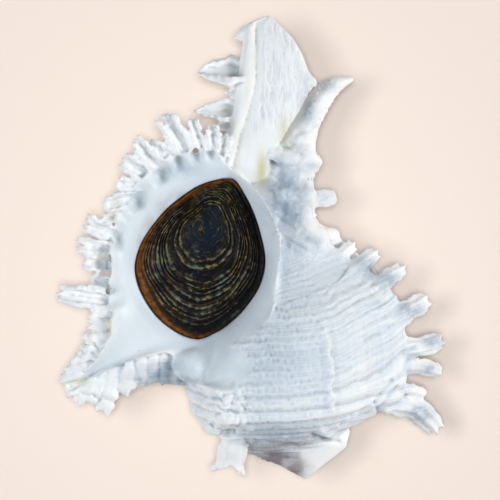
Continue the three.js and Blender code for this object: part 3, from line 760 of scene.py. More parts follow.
def sculpture(turn, height):
    """Spiral cords, strong near the shoulder and the spines, with dimples, threads and a growth ridge."""
    cord = fanned(turn, height)
    near = near_varix(turn)
    relief = np.zeros_like(cord)
    for at in SPINE_CORDS:
        sway = at + 0.7 * wander(turn, int(at), 24)
        relief += (0.1 + 0.5 * near**1.5) * np.exp(-(((cord - sway) / 1.7) ** 2))
    for at, rise, width in SHOULDER_CORDS:
        relief += rise * np.exp(-(((cord - at - 0.3 * wander(turn, int(at), 19)) / width) ** 2))
    relief -= DIMPLE_DEPTH * dimples(turn, cord)
    relief -= threads(turn, height, cord)
    relief += axial_ridge(turn, height)
    relief += 0.1 * wander(turn + cord * 0.06, 13, 6.5)
    return relief * smooth(height, 21, 25)


def coil_tree(material):
    """Winds a whorl, laid out by turn, radius and height, round the axis."""
    inputs = {
        "Apex": "NodeSocketVector", "Tilt": "NodeSocketFloat", "Lip angle": "NodeSocketFloat",
        "Expansion": "NodeSocketFloat", "Lip drop": "NodeSocketFloat", "Drop from": "NodeSocketFloat",
    }
    bench, wires = shape_tree("coil", inputs)

    turn = bench.laid("turn")
    scale = bench.math("POWER", wires["Expansion"], turn / 360)
    angle = bench.math("RADIANS", wires["Lip angle"] - turn)
    tilt = bench.math("RADIANS", wires["Tilt"])
    drop = bench.range(turn, wires["Drop from"], 0.0) * wires["Lip drop"]
    along = bench.laid("height") * scale + drop
    out = bench.laid("radius") * scale
    forward = out * bench.math("SINE", angle)
    sine, cosine = bench.math("SINE", tilt), bench.math("COSINE", tilt)
    place = bench.vector(
        out * bench.math("COSINE", angle),
        along * cosine - forward * sine,
        along * sine + forward * cosine,
    )
    moved = bench.node("ShaderNodeVectorMath", {"operation": "ADD"}, {0: place, 1: wires["Apex"]})
    wound = bench.node("GeometryNodeSetPosition", None, {"Geometry": wires["Geometry"], "Position": moved})
    end_tree(bench, wound, material)
    return bench.tree


COIL_VALUES = {
    "Apex": APEX, "Tilt": AXIS_TILT, "Lip angle": LIP_ANGLE, "Expansion": EXPANSION,
    "Lip drop": LIP_DROP, "Drop from": LIP_DROP_FROM,
}


def whorl(number, tree):
    """One whorl, laid out flat and then wound by the tree."""
    profile = np.array(WHORL_PROFILE if number == 0 else SPIRE_PROFILE, float) * LAP_SHRINK**number
    steps = PROFILE_STEPS if number == 0 else PROFILE_STEPS // 2
    outline = through(profile, np.linspace(0, len(profile) - 1, steps))
    end = -number * (WHORL_SPAN - WHORL_LAP)
    turns = np.linspace(end - WHORL_SPAN, end, int(WHORL_SPAN / TURN_STEP) + 1)[:, None]
    height = np.tile(outline[:, 1], (len(turns), 1))
    radius = outline[:, 0] + swelling(turns, height)
    inner = np.full((len(turns), 2), INNER_RADIUS)
    radius = np.hstack([radius, inner])
    height = np.hstack([height, np.tile(outline[[-1, 0], 1], (len(turns), 1))])
    turn = np.broadcast_to(turns, radius.shape)
    flat = np.stack([turn, radius, height], axis=2)
    piece = mesh_piece("whorl", flat.reshape(-1, 3), tube_faces(*radius.shape))
    for name, values in (("turn", turn), ("radius", radius), ("height", height)):
        attach(piece.data, name, values)
    grown(piece, tree, COIL_VALUES)
    face_out(piece.data)
    return piece


def columella():
    profile = through(COLUMELLA, np.linspace(0, len(COLUMELLA) - 1, 60))
    angles = np.linspace(0, 2 * math.pi, 48, endpoint=False)
    round_axis = np.cos(angles)[:, None] * SIDE + np.sin(angles)[:, None] * FRONT
    sections = [np.array(APEX) + AXIS * h + round_axis * max(r, 0.05) for r, h in profile]
    return tube_piece("columella", sections)


# The aperture

def plane(y):
    return PLANE_HEIGHT + (y - PLANE_AT) * math.tan(math.radians(PLANE_TILT))


def scallops(row):
    """1 where a frond leaves the margin and 0 between fronds."""
    total = np.zeros(len(row))
    for at, _, _, _, width in LIP_FRONDS:
        total = np.maximum(total, np.exp(-(((row - at) / (SCALLOP_SPREAD * width)) ** 2)))
    return total


def dish(row, across, lift=0.0):
    """Points from the operculum's edge (0) to the shell's margin (1), at rows round the aperture."""
    row = np.asarray(row, float)
    edge = through(APERTURE[:, :2], row, closed=True)
    margin = through(APERTURE[:, 2:], row, closed=True)
    out = across + LIP_SCALLOP * scallops(row) * smooth(across, 0.8, 1)
    place = edge + (margin[:, :2] - edge) * np.reshape(out, (-1, 1))
    curl = 1.4 - 0.7 * smooth(row, 15.6, 17) * (1 - smooth(row, 20, 22))
    height = margin[:, 2] * max(across, 0) ** curl + lift + plane(place[:, 1])
    return np.column_stack([place, height])


ROWS = np.arange(APERTURE_STEPS) / APERTURE_STEPS * len(APERTURE)


def mouths(row):
    """How deep each place of the margin lies in the mouth of a frond's channel."""
    depth = np.zeros(len(row))
    for at, spread, deep in SCOOPS:
        depth = np.maximum(depth, deep * np.exp(-(((row - at) / spread) ** 2)))
    return depth


def peristome():
    """The funnel of porcelain from the operculum's edge to the margin, and the lip's back."""
    scoop = mouths(ROWS)
    outer = smooth(ROWS, 0.5, 1) * (1 - smooth(ROWS, 12, 12.5))
    ridge = LIP_RIDGE * outer * (1 - np.minimum(scoop / 2, 1))
    tongue = bump((ROWS - CALLUS_ROW) / CALLUS_SPAN)
    edge = 0.9 * smooth(ROWS, *INNER_LIP) * (1 - smooth(ROWS, 24.5, 25.5))
    sections = [dish(ROWS, 0, -WALL_DEPTH), dish(ROWS, 0, -4)]
    for across in np.linspace(0, 1, 26):
        face = dish(ROWS, across)
        face[:, 2] += ridge * smooth(across, 0.7, 0.97) - scoop * smooth(across, 0.45, 0.85)
        face[:, 2] += tongue * CALLUS_RISE * math.sin(math.pi * across**1.4)
        roll = tongue * CALLUS_ROLL * smooth(across, 0.72, 1.06) ** 2
        face[:, 2] += edge * smooth(across, 0.86, 1.0) - roll
        sections.append(face)
    for across, lift in LIP_BACK:
        back = dish(ROWS, across, lift)
        back[:, 2] -= (scoop + tongue * CALLUS_ROLL) * smooth(across, 0.5, 0.9)
        sections.append(back)
    return tube_piece("peristome", np.stack(sections, axis=1), closed=True)


def knob():
    """The round end of the callus below the aperture."""
    angles = np.linspace(0, 2 * math.pi, 48, endpoint=False)
    sections = []
    for tilt in np.linspace(-1.55, 1.55, 26):
        ring = np.column_stack([np.cos(angles), np.sin(angles), np.full(len(angles), math.tan(tilt))])
        sections.append(KNOB + ring * math.cos(tilt) * KNOB_RADII)
    return tube_piece("knob", sections)


def funnel():
    """What is cleared out of the whorls for the peristome."""
    rows = ROWS[::4]
    levels = [(0.1, -WALL_DEPTH + 1), (0.12, -1.5), (0.5, -2.4), (0.94, -3.4), (0.94, 60)]
    return tube_piece("funnel", [dish(rows, across, lift) for across, lift in levels])


def hollow():
    angles = np.linspace(0, 2 * math.pi, 40, endpoint=False)
    sections = []
    for turn in np.linspace(HOLLOW["start"], HOLLOW["end"], 40):
        radius = HOLLOW["radius"] + HOLLOW["across"] * np.cos(angles)
        height = HOLLOW["height"] + HOLLOW["along"] * np.sin(angles)
        sections.append([on_spiral(turn, r, h) for r, h in zip(radius, height)])
    return tube_piece("hollow", sections)


def canal():
    """The siphonal canal: a smooth left fold, a slit, and a wrinkled right plate."""
    rows = through(CANAL, np.linspace(0, len(CANAL) - 1, 110))
    sections = []
    for y, left, slit, right, top, depth in rows:
        corners = np.array([
            (slit + SLIT, top + 0.1), (slit * 0.75 + right * 0.25, top + 0.5),
            (slit * 0.5 + right * 0.5, top + 0.8), (slit * 0.25 + right * 0.75, top + 0.3),
            (slit * 0.06 + right * 0.94, top - 0.08 * depth), (right, top - 0.3 * depth),
            (left * 0.25 + right * 0.75, top - 0.85 * depth), (left * 0.6 + right * 0.4, top - depth),
            (left + 0.8, top - 0.75 * depth), (left, top - 0.3 * depth),
            (left * 0.85 + slit * 0.15, top + 0.2), (left * 0.5 + slit * 0.5, top + 1.1),
            (slit - 2 * SLIT, top + 0.5), (slit - 0.6 * SLIT, top - 0.9),
        ])
        ring = through(corners, np.linspace(0, len(corners), 98, endpoint=False), closed=True)
        sections.append(np.column_stack([ring[:, 0], np.full(len(ring), y), ring[:, 1]]))
    return tube_piece("canal", sections)


def canal_plate(points):
    """How far each point lies on the canal's right plate."""
    x, y = points[:, 0], points[:, 1]
    rows = np.array(CANAL)
    slit, right = (np.interp(y, rows[:, 0], rows[:, k]) for k in (2, 3))
    across = smooth(x, slit + 1, slit + 3) * (1 - smooth(x, right - 1, right))
    return across * smooth(y, 34, 42) * smooth(points[:, 2], 68, 72)


def wrinkles(points):
    """Short irregular wrinkles of the canal's right plate."""
    x, y = points[:, 0], points[:, 1]
    drift = x + 0.6 * wander(y, 23, 21) + 0.4 * wander(y + 0.8 * x, 27, 7)
    lines = wander(drift, 29, 3.9) + 0.9 * wander(drift + y * 0.12, 31, 2.1)
    broken = 0.55 + 0.45 * wander(y + 3 * x, 37, 6) + 0.3 * wander(y - 2 * x, 39, 4)
    return 0.28 * canal_plate(points) * lines * broken


def fasciole():
    """The bundle of former canals beside the inner lip, which ends in a curved horn."""
    rows = through(FASCIOLE, np.linspace(0, len(FASCIOLE) - 1, 120))
    path = rows[:, :3]
    way = unit(np.gradient(path, axis=0))
    up = unit(np.array([0, 0, 1.0]) - way * way[:, 2:])
    across = np.cross(way, up)
    angles = np.linspace(0, 2 * math.pi, 72, endpoint=False)
    sections = []
    for i, (_, _, _, width, depth) in enumerate(rows):
        along = path[i, 1]
        scale = 1 + 0.02 * wander(along, 41, 5) + 0.03 * wander(angles * 5 + along * 0.2, 43, 9)
        crest_at = 0.75 + 0.75 * float(smooth(along, 28, 46))
        keel = 0.16 * np.exp(-(((angles - crest_at) / 0.4) ** 2))
        keel -= 0.13 * np.exp(-(((angles - crest_at - 1.2) / 0.6) ** 2)) * float(smooth(along, 0, 10))
        ring = (scale + keel)[:, None] * (
            width * np.cos(angles)[:, None] * across[i] + depth * np.sin(angles)[:, None] * up[i]
        )
        sections.append(path[i] + ring)
    return tube_piece("fasciole", sections)


def wing(corners):
    """A thick face between corners and the points under them."""
    work = bmesh.new()
    for corner in corners:
        work.verts.new(corner)
        work.verts.new(np.add(corner, SPIRE_DEPTH))
    bmesh.ops.convex_hull(work, input=work.verts)
    mesh = bpy.data.meshes.new("wing")
    work.to_mesh(mesh)
    work.free()
    piece = bpy.data.objects.new("wing", mesh)
    bpy.context.scene.collection.objects.link(piece)
    return piece


# Fronds and spines

class Fronds:
    """Paths of fronds, each a chain of edges with what the frond tree reads along it."""

    STEPS = 28

    def __init__(self):
        self.points = []
        self.edges = []
        self.floats = {name: [] for name in ("half_width", "frill", "teeth", "seed", "along", "flute")}
        self.vectors = {"facing": [], "lead": []}

    def blade(
        self, base, start, tip, facing, width, tip_width=1.0, jag=0.3, teeth=3.0, frill=1.0, flute=0.05,
        sink=0.0, seed=None,
    ):
        """A channelled blade that leaves base along start and ends at tip in a jagged edge."""
        base, start, tip, facing = (np.asarray(v, float) for v in (base, start, tip, facing))
        reach = np.linalg.norm(tip - base)
        root = base - start * ROOT_DEPTH - np.array([0, 0, sink])
        bend = base + start * 0.45 * reach
        share = np.linspace(0, 1, self.STEPS)
        s = share[:, None]
        path = root * (1 - s) ** 2 + 2 * bend * s * (1 - s) + tip * s**2
        way = unit(np.gradient(path, axis=0))
        size = width * (0.6 + 0.4 * smooth(share, 0, 0.3)) * (1 + (tip_width - 1) * share**2)
        size = size * (1 + 0.07 * np.sin(share * 15 + rng.uniform(0, 6)))
        first = len(self.points)
        self.points.extend(path)
        self.edges.extend((i, i + 1) for i in range(first, first + len(path) - 1))
        self.floats["half_width"].extend(size)
        self.floats["frill"].extend(frill * (0.2 + 0.8 * share))
        self.floats["teeth"].extend(np.full(len(path), teeth))
        self.floats["seed"].extend(np.full(len(path), rng.uniform(0, 2) if seed is None else seed))
        self.floats["flute"].extend(flute * smooth(share, 0, 0.2))
        self.floats["along"].extend(share * reach)
        self.vectors["facing"].extend(unit(facing - way * (way @ facing)[:, None]))
        self.vectors["lead"].extend(way * (jag * reach * share**3)[:, None])

    def piece(self):
        made = mesh_piece("fronds", self.points, edges=self.edges)
        for name, values in self.floats.items():
            attach(made.data, name, values)
        for name, values in self.vectors.items():
            attach(made.data, name, values, "FLOAT_VECTOR")
        return made


def frond_section():
    """The section of a channelled blade of half-breadth 1, open to +X, as a closed chain of edges."""
    share = np.linspace(-1, 1, 25)
    fold = np.radians(share * FROND_WRAP)
    outer = np.column_stack([-np.cos(fold), np.sin(fold)])
    loop = np.vstack([outer, outer[::-1] * (1 - FROND_WALL)]) / outer[-1, 1] + (0.55, 0)
    points = np.column_stack([loop, np.zeros(len(loop))])
    edges = [(i, (i + 1) % len(points)) for i in range(len(points))]
    made = mesh_piece("frond_section", points, edges=edges)
    attach(made.data, "fold", np.concatenate([share, share[::-1]]))
    return made


def frond_tree(material):
    """Sweeps a channelled section along each path, cuts its end into teeth, flutes and crumples it."""
    inputs = {"Section": "NodeSocketObject"}
    inputs |= dict.fromkeys(("Crumple", "Crumple size", "Rim frill", "Rim pitch"), "NodeSocketFloat")
    bench, wires = shape_tree("frond", inputs)

    laid = bench.laid
    paths = bench.node("GeometryNodeMeshToCurve", None, {"Mesh": wires["Geometry"]})
    turned = bench.node(
        "GeometryNodeSetCurveNormal", {"mode": "FREE"},
        {"Curve": paths, "Normal": laid("facing", "FLOAT_VECTOR")},
    )
    section = bench.node("GeometryNodeObjectInfo", None, {"Object": wires["Section"]}, "Geometry")
    outline = bench.node("GeometryNodeMeshToCurve", None, {"Mesh": section})
    swept = bench.node(
        "GeometryNodeCurveToMesh", None,
        {"Curve": turned, "Profile Curve": outline, "Scale": laid("half_width"), "Fill Caps": True},
    )
    fold, frill, seed = laid("fold"), laid("frill"), laid("seed")
    tooth = bench.math("PINGPONG", fold * laid("teeth") + seed, 1.0)
    rim = bench.range(bench.math("ABSOLUTE", fold), 0.5, 1.0)
    notch = bench.math("PINGPONG", laid("along") / wires["Rim pitch"] + seed * 5.0, 1.0)
    flute = bench.math("COSINE", fold * FLUTES) * laid("half_width") * laid("flute")
    where = bench.node("GeometryNodeInputPosition")
    noise = bench.node(
        "ShaderNodeTexNoise", None,
        {"Vector": where, "Scale": 1 / wires["Crumple size"], "Detail": 2.0}, "Color",
    )
    pushes = [
        bench.scale(laid("lead", "FLOAT_VECTOR"), tooth - 0.75),
        bench.scale(laid("facing", "FLOAT_VECTOR"), rim * frill * notch * wires["Rim frill"]),
        bench.scale(bench.node("GeometryNodeInputNormal"), flute),
        bench.scale(bench.less(noise, (0.5, 0.5, 0.5)), frill * wires["Crumple"]),
    ]
    for push in pushes:
        swept = bench.node("GeometryNodeSetPosition", None, {"Geometry": swept, "Offset": push})
    end_tree(bench, swept, material)
    return bench.tree


def profile_radius(height):
    rows = np.array(WHORL_PROFILE, float)
    return float(np.interp(height, rows[:, 1], rows[:, 0]))


def crest(turn, height):
    return on_spiral(turn, profile_radius(height) + float(swelling(turn, height)), height)


def straight(root, tip):
    return unit(np.subtract(tip, root).astype(float))


def lip_fronds(fronds):
    for row, x, y, rise, width in [*LIP_FRONDS, SHOULDER_FROND]:
        below = CREST[0] < row < CREST[1]
        base = dish([row], 1, -3.4 if below else -1.4)[0]
        tip = np.array([x, y, base[2] + rise])
        start = unit((tip - base) * (1, 1, 0))
        fronds.blade(base, start, tip, (0, 0, 1), width, 1.05, jag=0.45, flute=0.11, sink=1.5)


def right_spines(fronds, body):
    """The spines of the right varix, rooted where the body is seen from the front."""
    ground = BVHTree.FromObject(body, bpy.context.evaluated_depsgraph_get())
    for (x, y), tip, width, bend in RIGHT_SPINES:
        base = np.array(ground.ray_cast(Vector((x, y, 200)), Vector((0, 0, -1)))[0]) - (0, 0, 0.4 * width)
        start = unit(np.array(tip) - base) + np.array([0, 0.25 * bend, 0.15])
        fronds.blade(base, start, tip, BACKWARD, width, 1.0, jag=0.16, teeth=2.5, frill=0.6, flute=0.12)


def lip_lobes(fronds):
    for root, tip, width in LIP_LOBES:
        start = unit(np.subtract(tip, root) * (1, 1, 0.3))
        fronds.blade(root, start, tip, (0, 0.2, -1), width, 0.95, jag=0.3, teeth=1.5, frill=1.3, flute=0.06)


def back_spines(fronds):
    """The spines of the back varix, in pairs, on which the shell rests."""
    for height, feet, low, width in BACK_SPINES:
        for x, y in feet:
            base = crest(BACK_VARIX, height)
            tip = np.array([x, y, low])
            start = unit(way_out(BACK_VARIX) + unit(tip - base))
            fronds.blade(base, start, tip, way_on(BACK_VARIX), width, 0.8, jag=0.12, frill=0.5)


def spire_spines(fronds):
    for turn, height, length, lean, width in SPIRE_SPINES:
        base = crest(turn, height)
        way = unit(way_out(turn) - AXIS * lean)
        start = unit(way_out(turn) + way)
        fronds.blade(base, start, base + way * length, way_on(turn), width, 0.8, frill=0.6)


def canal_fronds(fronds):
    for root, tip, facing, width in CANAL_FRONDS:
        fronds.blade(root, straight(root, tip), tip, facing, width, 0.15, jag=0.15, frill=0.8)


def front_spines(fronds):
    for root, tip, facing, width, tip_width in FRONT_SPINES:
        start = straight(root, tip)
        fronds.blade(root, start, tip, facing, width, tip_width, teeth=1.0, frill=0.9, flute=0.06, seed=0.0)


def fasciole_spines(fronds):
    for root, tip, width, tip_width in FASCIOLE_SPINES:
        fronds.blade(root, straight(root, tip), tip, BACKWARD, width, tip_width, jag=0.0, frill=0.2)


def grow_fronds(body):
    fronds = Fronds()
    lip_fronds(fronds)
    right_spines(fronds, body)
    for grow in (lip_lobes, back_spines, spire_spines, canal_fronds, front_spines, fasciole_spines):
        grow(fronds)
    return fronds.piece()


# Dressing the shell's mesh

def neighbours_mean(mesh, points, rounds, weight):
    """The points after rounds of smoothing, each by its weight."""
    edges = np.empty(len(mesh.edges) * 2, np.int32)
    mesh.edges.foreach_get("vertices", edges)
    first, second = edges[::2], edges[1::2]
    touched = (weight[first] > 0) | (weight[second] > 0)
    first, second = first[touched], second[touched]
    count = np.bincount(first, minlength=len(points)) + np.bincount(second, minlength=len(points))
    for _ in range(rounds):
        mean = np.empty_like(points)
        for k in range(3):
            total = np.bincount(first, points[second, k], len(points))
            total += np.bincount(second, points[first, k], len(points))
            mean[:, k] = total / np.maximum(count, 1)
        points = points + (mean - points) * weight[:, None]
    return points


def patch(points, ovals):
    """How far each point lies in soft ovals seen from the front."""
    total = np.zeros(len(points))
    for x, y, across, along, strength in ovals:
        near = np.exp(-(((points[:, 0] - x) / across) ** 2) - ((points[:, 1] - y) / along) ** 2)
        total = np.maximum(total, strength * near)
    return total


def marked(points):
    """The rise of folds and creases on the front."""
    flat = points[:, :2]
    total = np.zeros(len(points))
    for x1, y1, x2, y2, half, rise in MARKS:
        start, way = np.array([x1, y1]), np.array([x2 - x1, y2 - y1])
        share = np.clip((flat - start) @ way / (way @ way), 0, 1)
        away = np.linalg.norm(flat - start - share[:, None] * way, axis=1)
        total += rise * np.exp(-((away / half) ** 2))
    return total * smooth(points[:, 2], 40, 48)


def share_to(points, across):
    """How far each point lies from the aperture's middle, as a share of the way to a line of the funnel."""
    line = dish(ROWS, across)[:, :2] - APERTURE_MIDDLE
    away = points[:, :2] - APERTURE_MIDDLE
    angle, line_angle = (np.arctan2(flat[:, 1], flat[:, 0]) for flat in (away, line))
    reach = np.interp(angle, line_angle, np.hypot(*line.T), period=2 * math.pi)
    return np.hypot(*away.T) / reach


def porcelain(points):
    """How far each point lies on the glazed lip and callus, from 0 to 1."""
    lip = 1 - smooth(share_to(points, 1.0), 0.9, 1.02)
    spread = smooth(patch(points, GLAZE_SPREAD), 0.25, 0.5)
    level = plane(points[:, 1])
    return np.maximum(lip, spread) * smooth(points[:, 2], level - 9, level - 4)


def spiral_place(points):
    """The turn and height of each point by the spiral rule, on the last whorl where it can be."""
    away = points - APEX
    out = np.hypot(away[:, 0], away @ FRONT)
    angle = np.degrees(np.arctan2(away @ FRONT, away[:, 0]))
    turn = -((angle - LIP_ANGLE) % 360)
    size = np.maximum(out, 1) / LIP_RADIUS / EXPANSION ** (turn / 360)
    whorls_back = np.floor(np.log(size) / math.log(EXPANSION) + 0.75)
    turn = turn + 360 * np.clip(whorls_back, -SPIRE_TURNS, 0)
    return turn, away @ AXIS / EXPANSION ** (turn / 360), out


def press(points):
    """Flattens the body beside the callus, and draws it in below the lip and at the spire's fold."""
    x, y, z = points.T
    z -= patch(points, FLATTENED) * smooth(z, 60, 76)
    under = smooth(x, -44, -39) * (1 - smooth(x, -22, -18.5))
    y += 0.75 * under * np.maximum(UNDER_LIP - y, 0)
    fold_edge = SPIRE_EDGE[1] + SPIRE_SLOPE * np.maximum(x - SPIRE_EDGE[0], 0)
    spire = smooth(x, -8, -4) * (1 - smooth(x, 15, 18)) * smooth(z, 36, 44)
    y += 0.95 * spire * np.maximum(fold_edge - y, 0)
    return points


def shell_body(material):
    """The whorls on their columella, with the aperture and the hollow cut out."""
    coil = coil_tree(material)
    body = whorl(0, coil)
    for tool in (whorl(1, coil), whorl(2, coil), columella()):
        cut(body, tool, "UNION")
    set_points(body.data, press(points_of(body.data)))
    cut(body, funnel(), "DIFFERENCE")
    cut(body, hollow(), "DIFFERENCE")
    return body


def shell_shape(material):
    """The whole shell, fused into one skin."""
    body = shell_body(material)
    section = frond_section()
    fronds = grow_fronds(body)
    grown(fronds, frond_tree(material), {"Section": section, **FROND_VALUES})
    bpy.data.objects.remove(section)
    pieces = [body, peristome(), knob(), canal(), fasciole(), fronds]
    pieces += [wing([*SPIRE_KEEL, *corners]) for corners in SPIRE_WINGS]
    whole = gather("shell_skin", pieces)
    modifier = whole.modifiers.new("fuse", "REMESH")
    modifier.mode = "VOXEL"
    modifier.voxel_size = VOXEL
    return settled(whole)


def normals_of(mesh):
    flat = np.empty(len(mesh.vertices) * 3, np.float32)
    mesh.vertices.foreach_get("normal", flat)
    return flat.reshape(-1, 3).astype(float)


def bare_wall(points, turn, height, out):
    """How far each point lies on the whorl's own wall, clear of fronds, canal and glaze."""
    rows = np.array(WHORL_PROFILE, float)
    wall = np.interp(height, rows[:, 1], rows[:, 0]) + swelling(turn, height)
    proud = out / EXPANSION ** (turn / 360) - wall + patch(points, FLATTENED) * smooth(points[:, 2], 50, 60)
    canal_side = smooth(points[:, 1], 18, 26) * smooth(points[:, 2], 66, 72)
    return (1 - smooth(np.abs(proud), 2.5, 7)) * (1 - porcelain(points)) * (1 - canal_side)


def corded(points, turn, height, out):
    """How far the cords and dimples show: on the bare wall, and where the fasciole flows into it."""
    seam = smooth(patch(points, FASCIOLE_SEAM), 0.15, 0.4) * smooth(points[:, 2], 50, 58)
    blend = seam * (1 - porcelain(points))
    bundle = smooth(patch(points, FASCIOLE_SIDE), 0.3, 0.6)
    return np.maximum(bare_wall(points, turn, height, out) * (1 - bundle), 0.8 * blend)


def high_up(points):
    return smooth(points[:, 2], 62, 66)


def horn_grain(points):
    """The fine grain of the horn."""
    x, y = points[:, 0], points[:, 1]
    along = wander(y + 0.7 * x + 0.9 * wander(x - y, 79, 6), 87, 3.1)
    across = wander(x - 0.5 * y + 0.9 * wander(x + y, 89, 5), 91, 4.3)
    return smooth(patch(points, HORN), 0.3, 0.6) * (0.2 * along + 0.22 * across)


def fasciole_scales(points):
    """The uneven skin of the fasciole."""
    x, y, z = points.T
    lengthwise = y + 0.35 * x + 1.8 * wander(x + 0.6 * y, 75, 9)
    crosswise = x - 0.3 * y + 1.8 * wander(y - 0.4 * x, 77, 8)
    scales = wander(lengthwise, 71, 8) + 0.7 * wander(crosswise, 73, 7)
    return FASCIOLE_SCALES * scales * smooth(patch(points, FASCIOLE_SKIN), 0.3, 0.6) * smooth(z, 44, 52)


def gnarls(points):
    """The lumpy folds of the front varix and of the lip's low corner."""
    x, y = points[:, 0], points[:, 1]
    folds = np.abs(wander(y + 0.35 * x + 0.9 * wander(x, 85, 11), 81, 15))
    folds = folds + 0.5 * np.abs(wander(x - 0.4 * y, 83, 13))
    return patch(points, GNARLED) * (folds - 0.3)


def settle_joins(mesh, glaze):
    """Smooths the glaze, the wall and the seams, and keeps the feet on the floor."""
    points = points_of(mesh)
    calm = np.maximum(glaze, 0.5 * bare_wall(points, *spiral_place(points)))
    points = neighbours_mean(mesh, points, SKIN_ROUNDS, 0.08 + 0.5 * calm)
    seam = smooth(patch(points, SEAM), 0.2, 0.5) * smooth(points[:, 2], 50, 58)
    points = neighbours_mean(mesh, points, SEAM_ROUNDS, 0.65 * seam)
    points[:, 2] = np.maximum(points[:, 2], 0)
    set_points(mesh, points)
    return points


def raise_relief(mesh, points, glaze):
    """Moves the skin along its normals by its cords, folds, wrinkles, scales and dishes."""
    normals = normals_of(mesh)
    facing = normals[:, 2]
    turn, height, out = spiral_place(points)
    relief = sculpture(turn, height) * corded(points, turn, height, out)
    relief += marked(points) * smooth(facing, -0.3, 0.1)
    relief += wrinkles(points) * smooth(facing, 0.3, 0.7)
    relief += horn_grain(points) + fasciole_scales(points) * (1 - glaze)
    relief += gnarls(points) * (1 - glaze) * smooth(facing, -0.2, 0.3)
    relief -= patch(points, DISHES) * high_up(points)
    points = points + normals * relief[:, None]
    points[:, 2] = np.maximum(points[:, 2], 0)
    set_points(mesh, points)


def thin(whole):
    """Brings the skin to its number of triangles, with no fins or crumbs."""
    modifier = whole.modifiers.new("thin", "DECIMATE")
    modifier.ratio = min(1.0, SHELL_TRIANGLES / (2 * len(whole.data.polygons)))
    settled(whole)
    drop_fins(whole.data)
    drop_crumbs(whole.data)


def note_places(mesh):
    """Notes at each point what the finish reads there."""
    points = points_of(mesh)
    turn, height, out = spiral_place(points)
    cord = fanned(turn, height)
    shown = corded(points, turn, height, out)
    plate = canal_plate(points)
    ring = share_to(points, 0.0)
    # how far each point lies sunk below its neighbours: the finish paints shade into hollows and a
    # highlight onto crests from it
    mean = neighbours_mean(mesh, points, 12, np.full(len(points), 0.6))
    sunk = np.sum((mean - points) * normals_of(mesh), axis=1)
    notes = {
        "turn": turn, "height": cord, "glaze": porcelain(points), "plate": plate, "ring": ring,
        "pit": sunk * (0.55 + 0.45 * np.maximum(bare_wall(points, turn, height, out), plate)),
        "bare": shown * (1 - patch(points, GNARLED) / GNARLED[0][4]),
        # painted shade in the dimples of the net, as deep as each dimple
        "net": dimples(turn, cord) * shown * smooth(height, 40, 46),
        # painted shade in the lip's dishes
        "dish": patch(points, DISHES) / 2 * high_up(points),
        # painted shade on the glaze where it runs down to the recessed operculum
        "foot": 1 - smooth(ring, 1.02, 1.22),
    }
    front = smooth(points[:, 2], 36, 46)
    for name, ovals in (("olive", OLIVE), ("lilac", LILAC_AND_SHADE), ("tan", TAN_AND_SHADE), ("grey", PAINTED_SHADE)):
        notes[name] = patch(points, ovals) * front
    for name, values in notes.items():
        attach(mesh, name, values)


def dress_shell(whole):
    """Gives the fused skin its relief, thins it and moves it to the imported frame."""
    glaze = porcelain(points_of(whole.data))
    points = settle_joins(whole.data, glaze)
    raise_relief(whole.data, points, glaze)
    thin(whole)
    note_places(whole.data)
    set_points(whole.data, (points_of(whole.data) - CENTRE) * MM)
    whole.data.shade_smooth()
    return whole


# Finishes

def finish(name):
    made = bpy.data.materials.new(name)
    made.use_nodes = True
    made.node_tree.nodes.clear()
    bench = Bench(made.node_tree)
    return made, bench


def paint(bench, colour, roughness, normal, **constants):
    sockets = {"Base Color": colour, "Roughness": roughness, "Normal": normal, **constants}
    shader = bench.node("ShaderNodeBsdfPrincipled", None, sockets)
    bench.node("ShaderNodeOutputMaterial", None, {"Surface": shader})


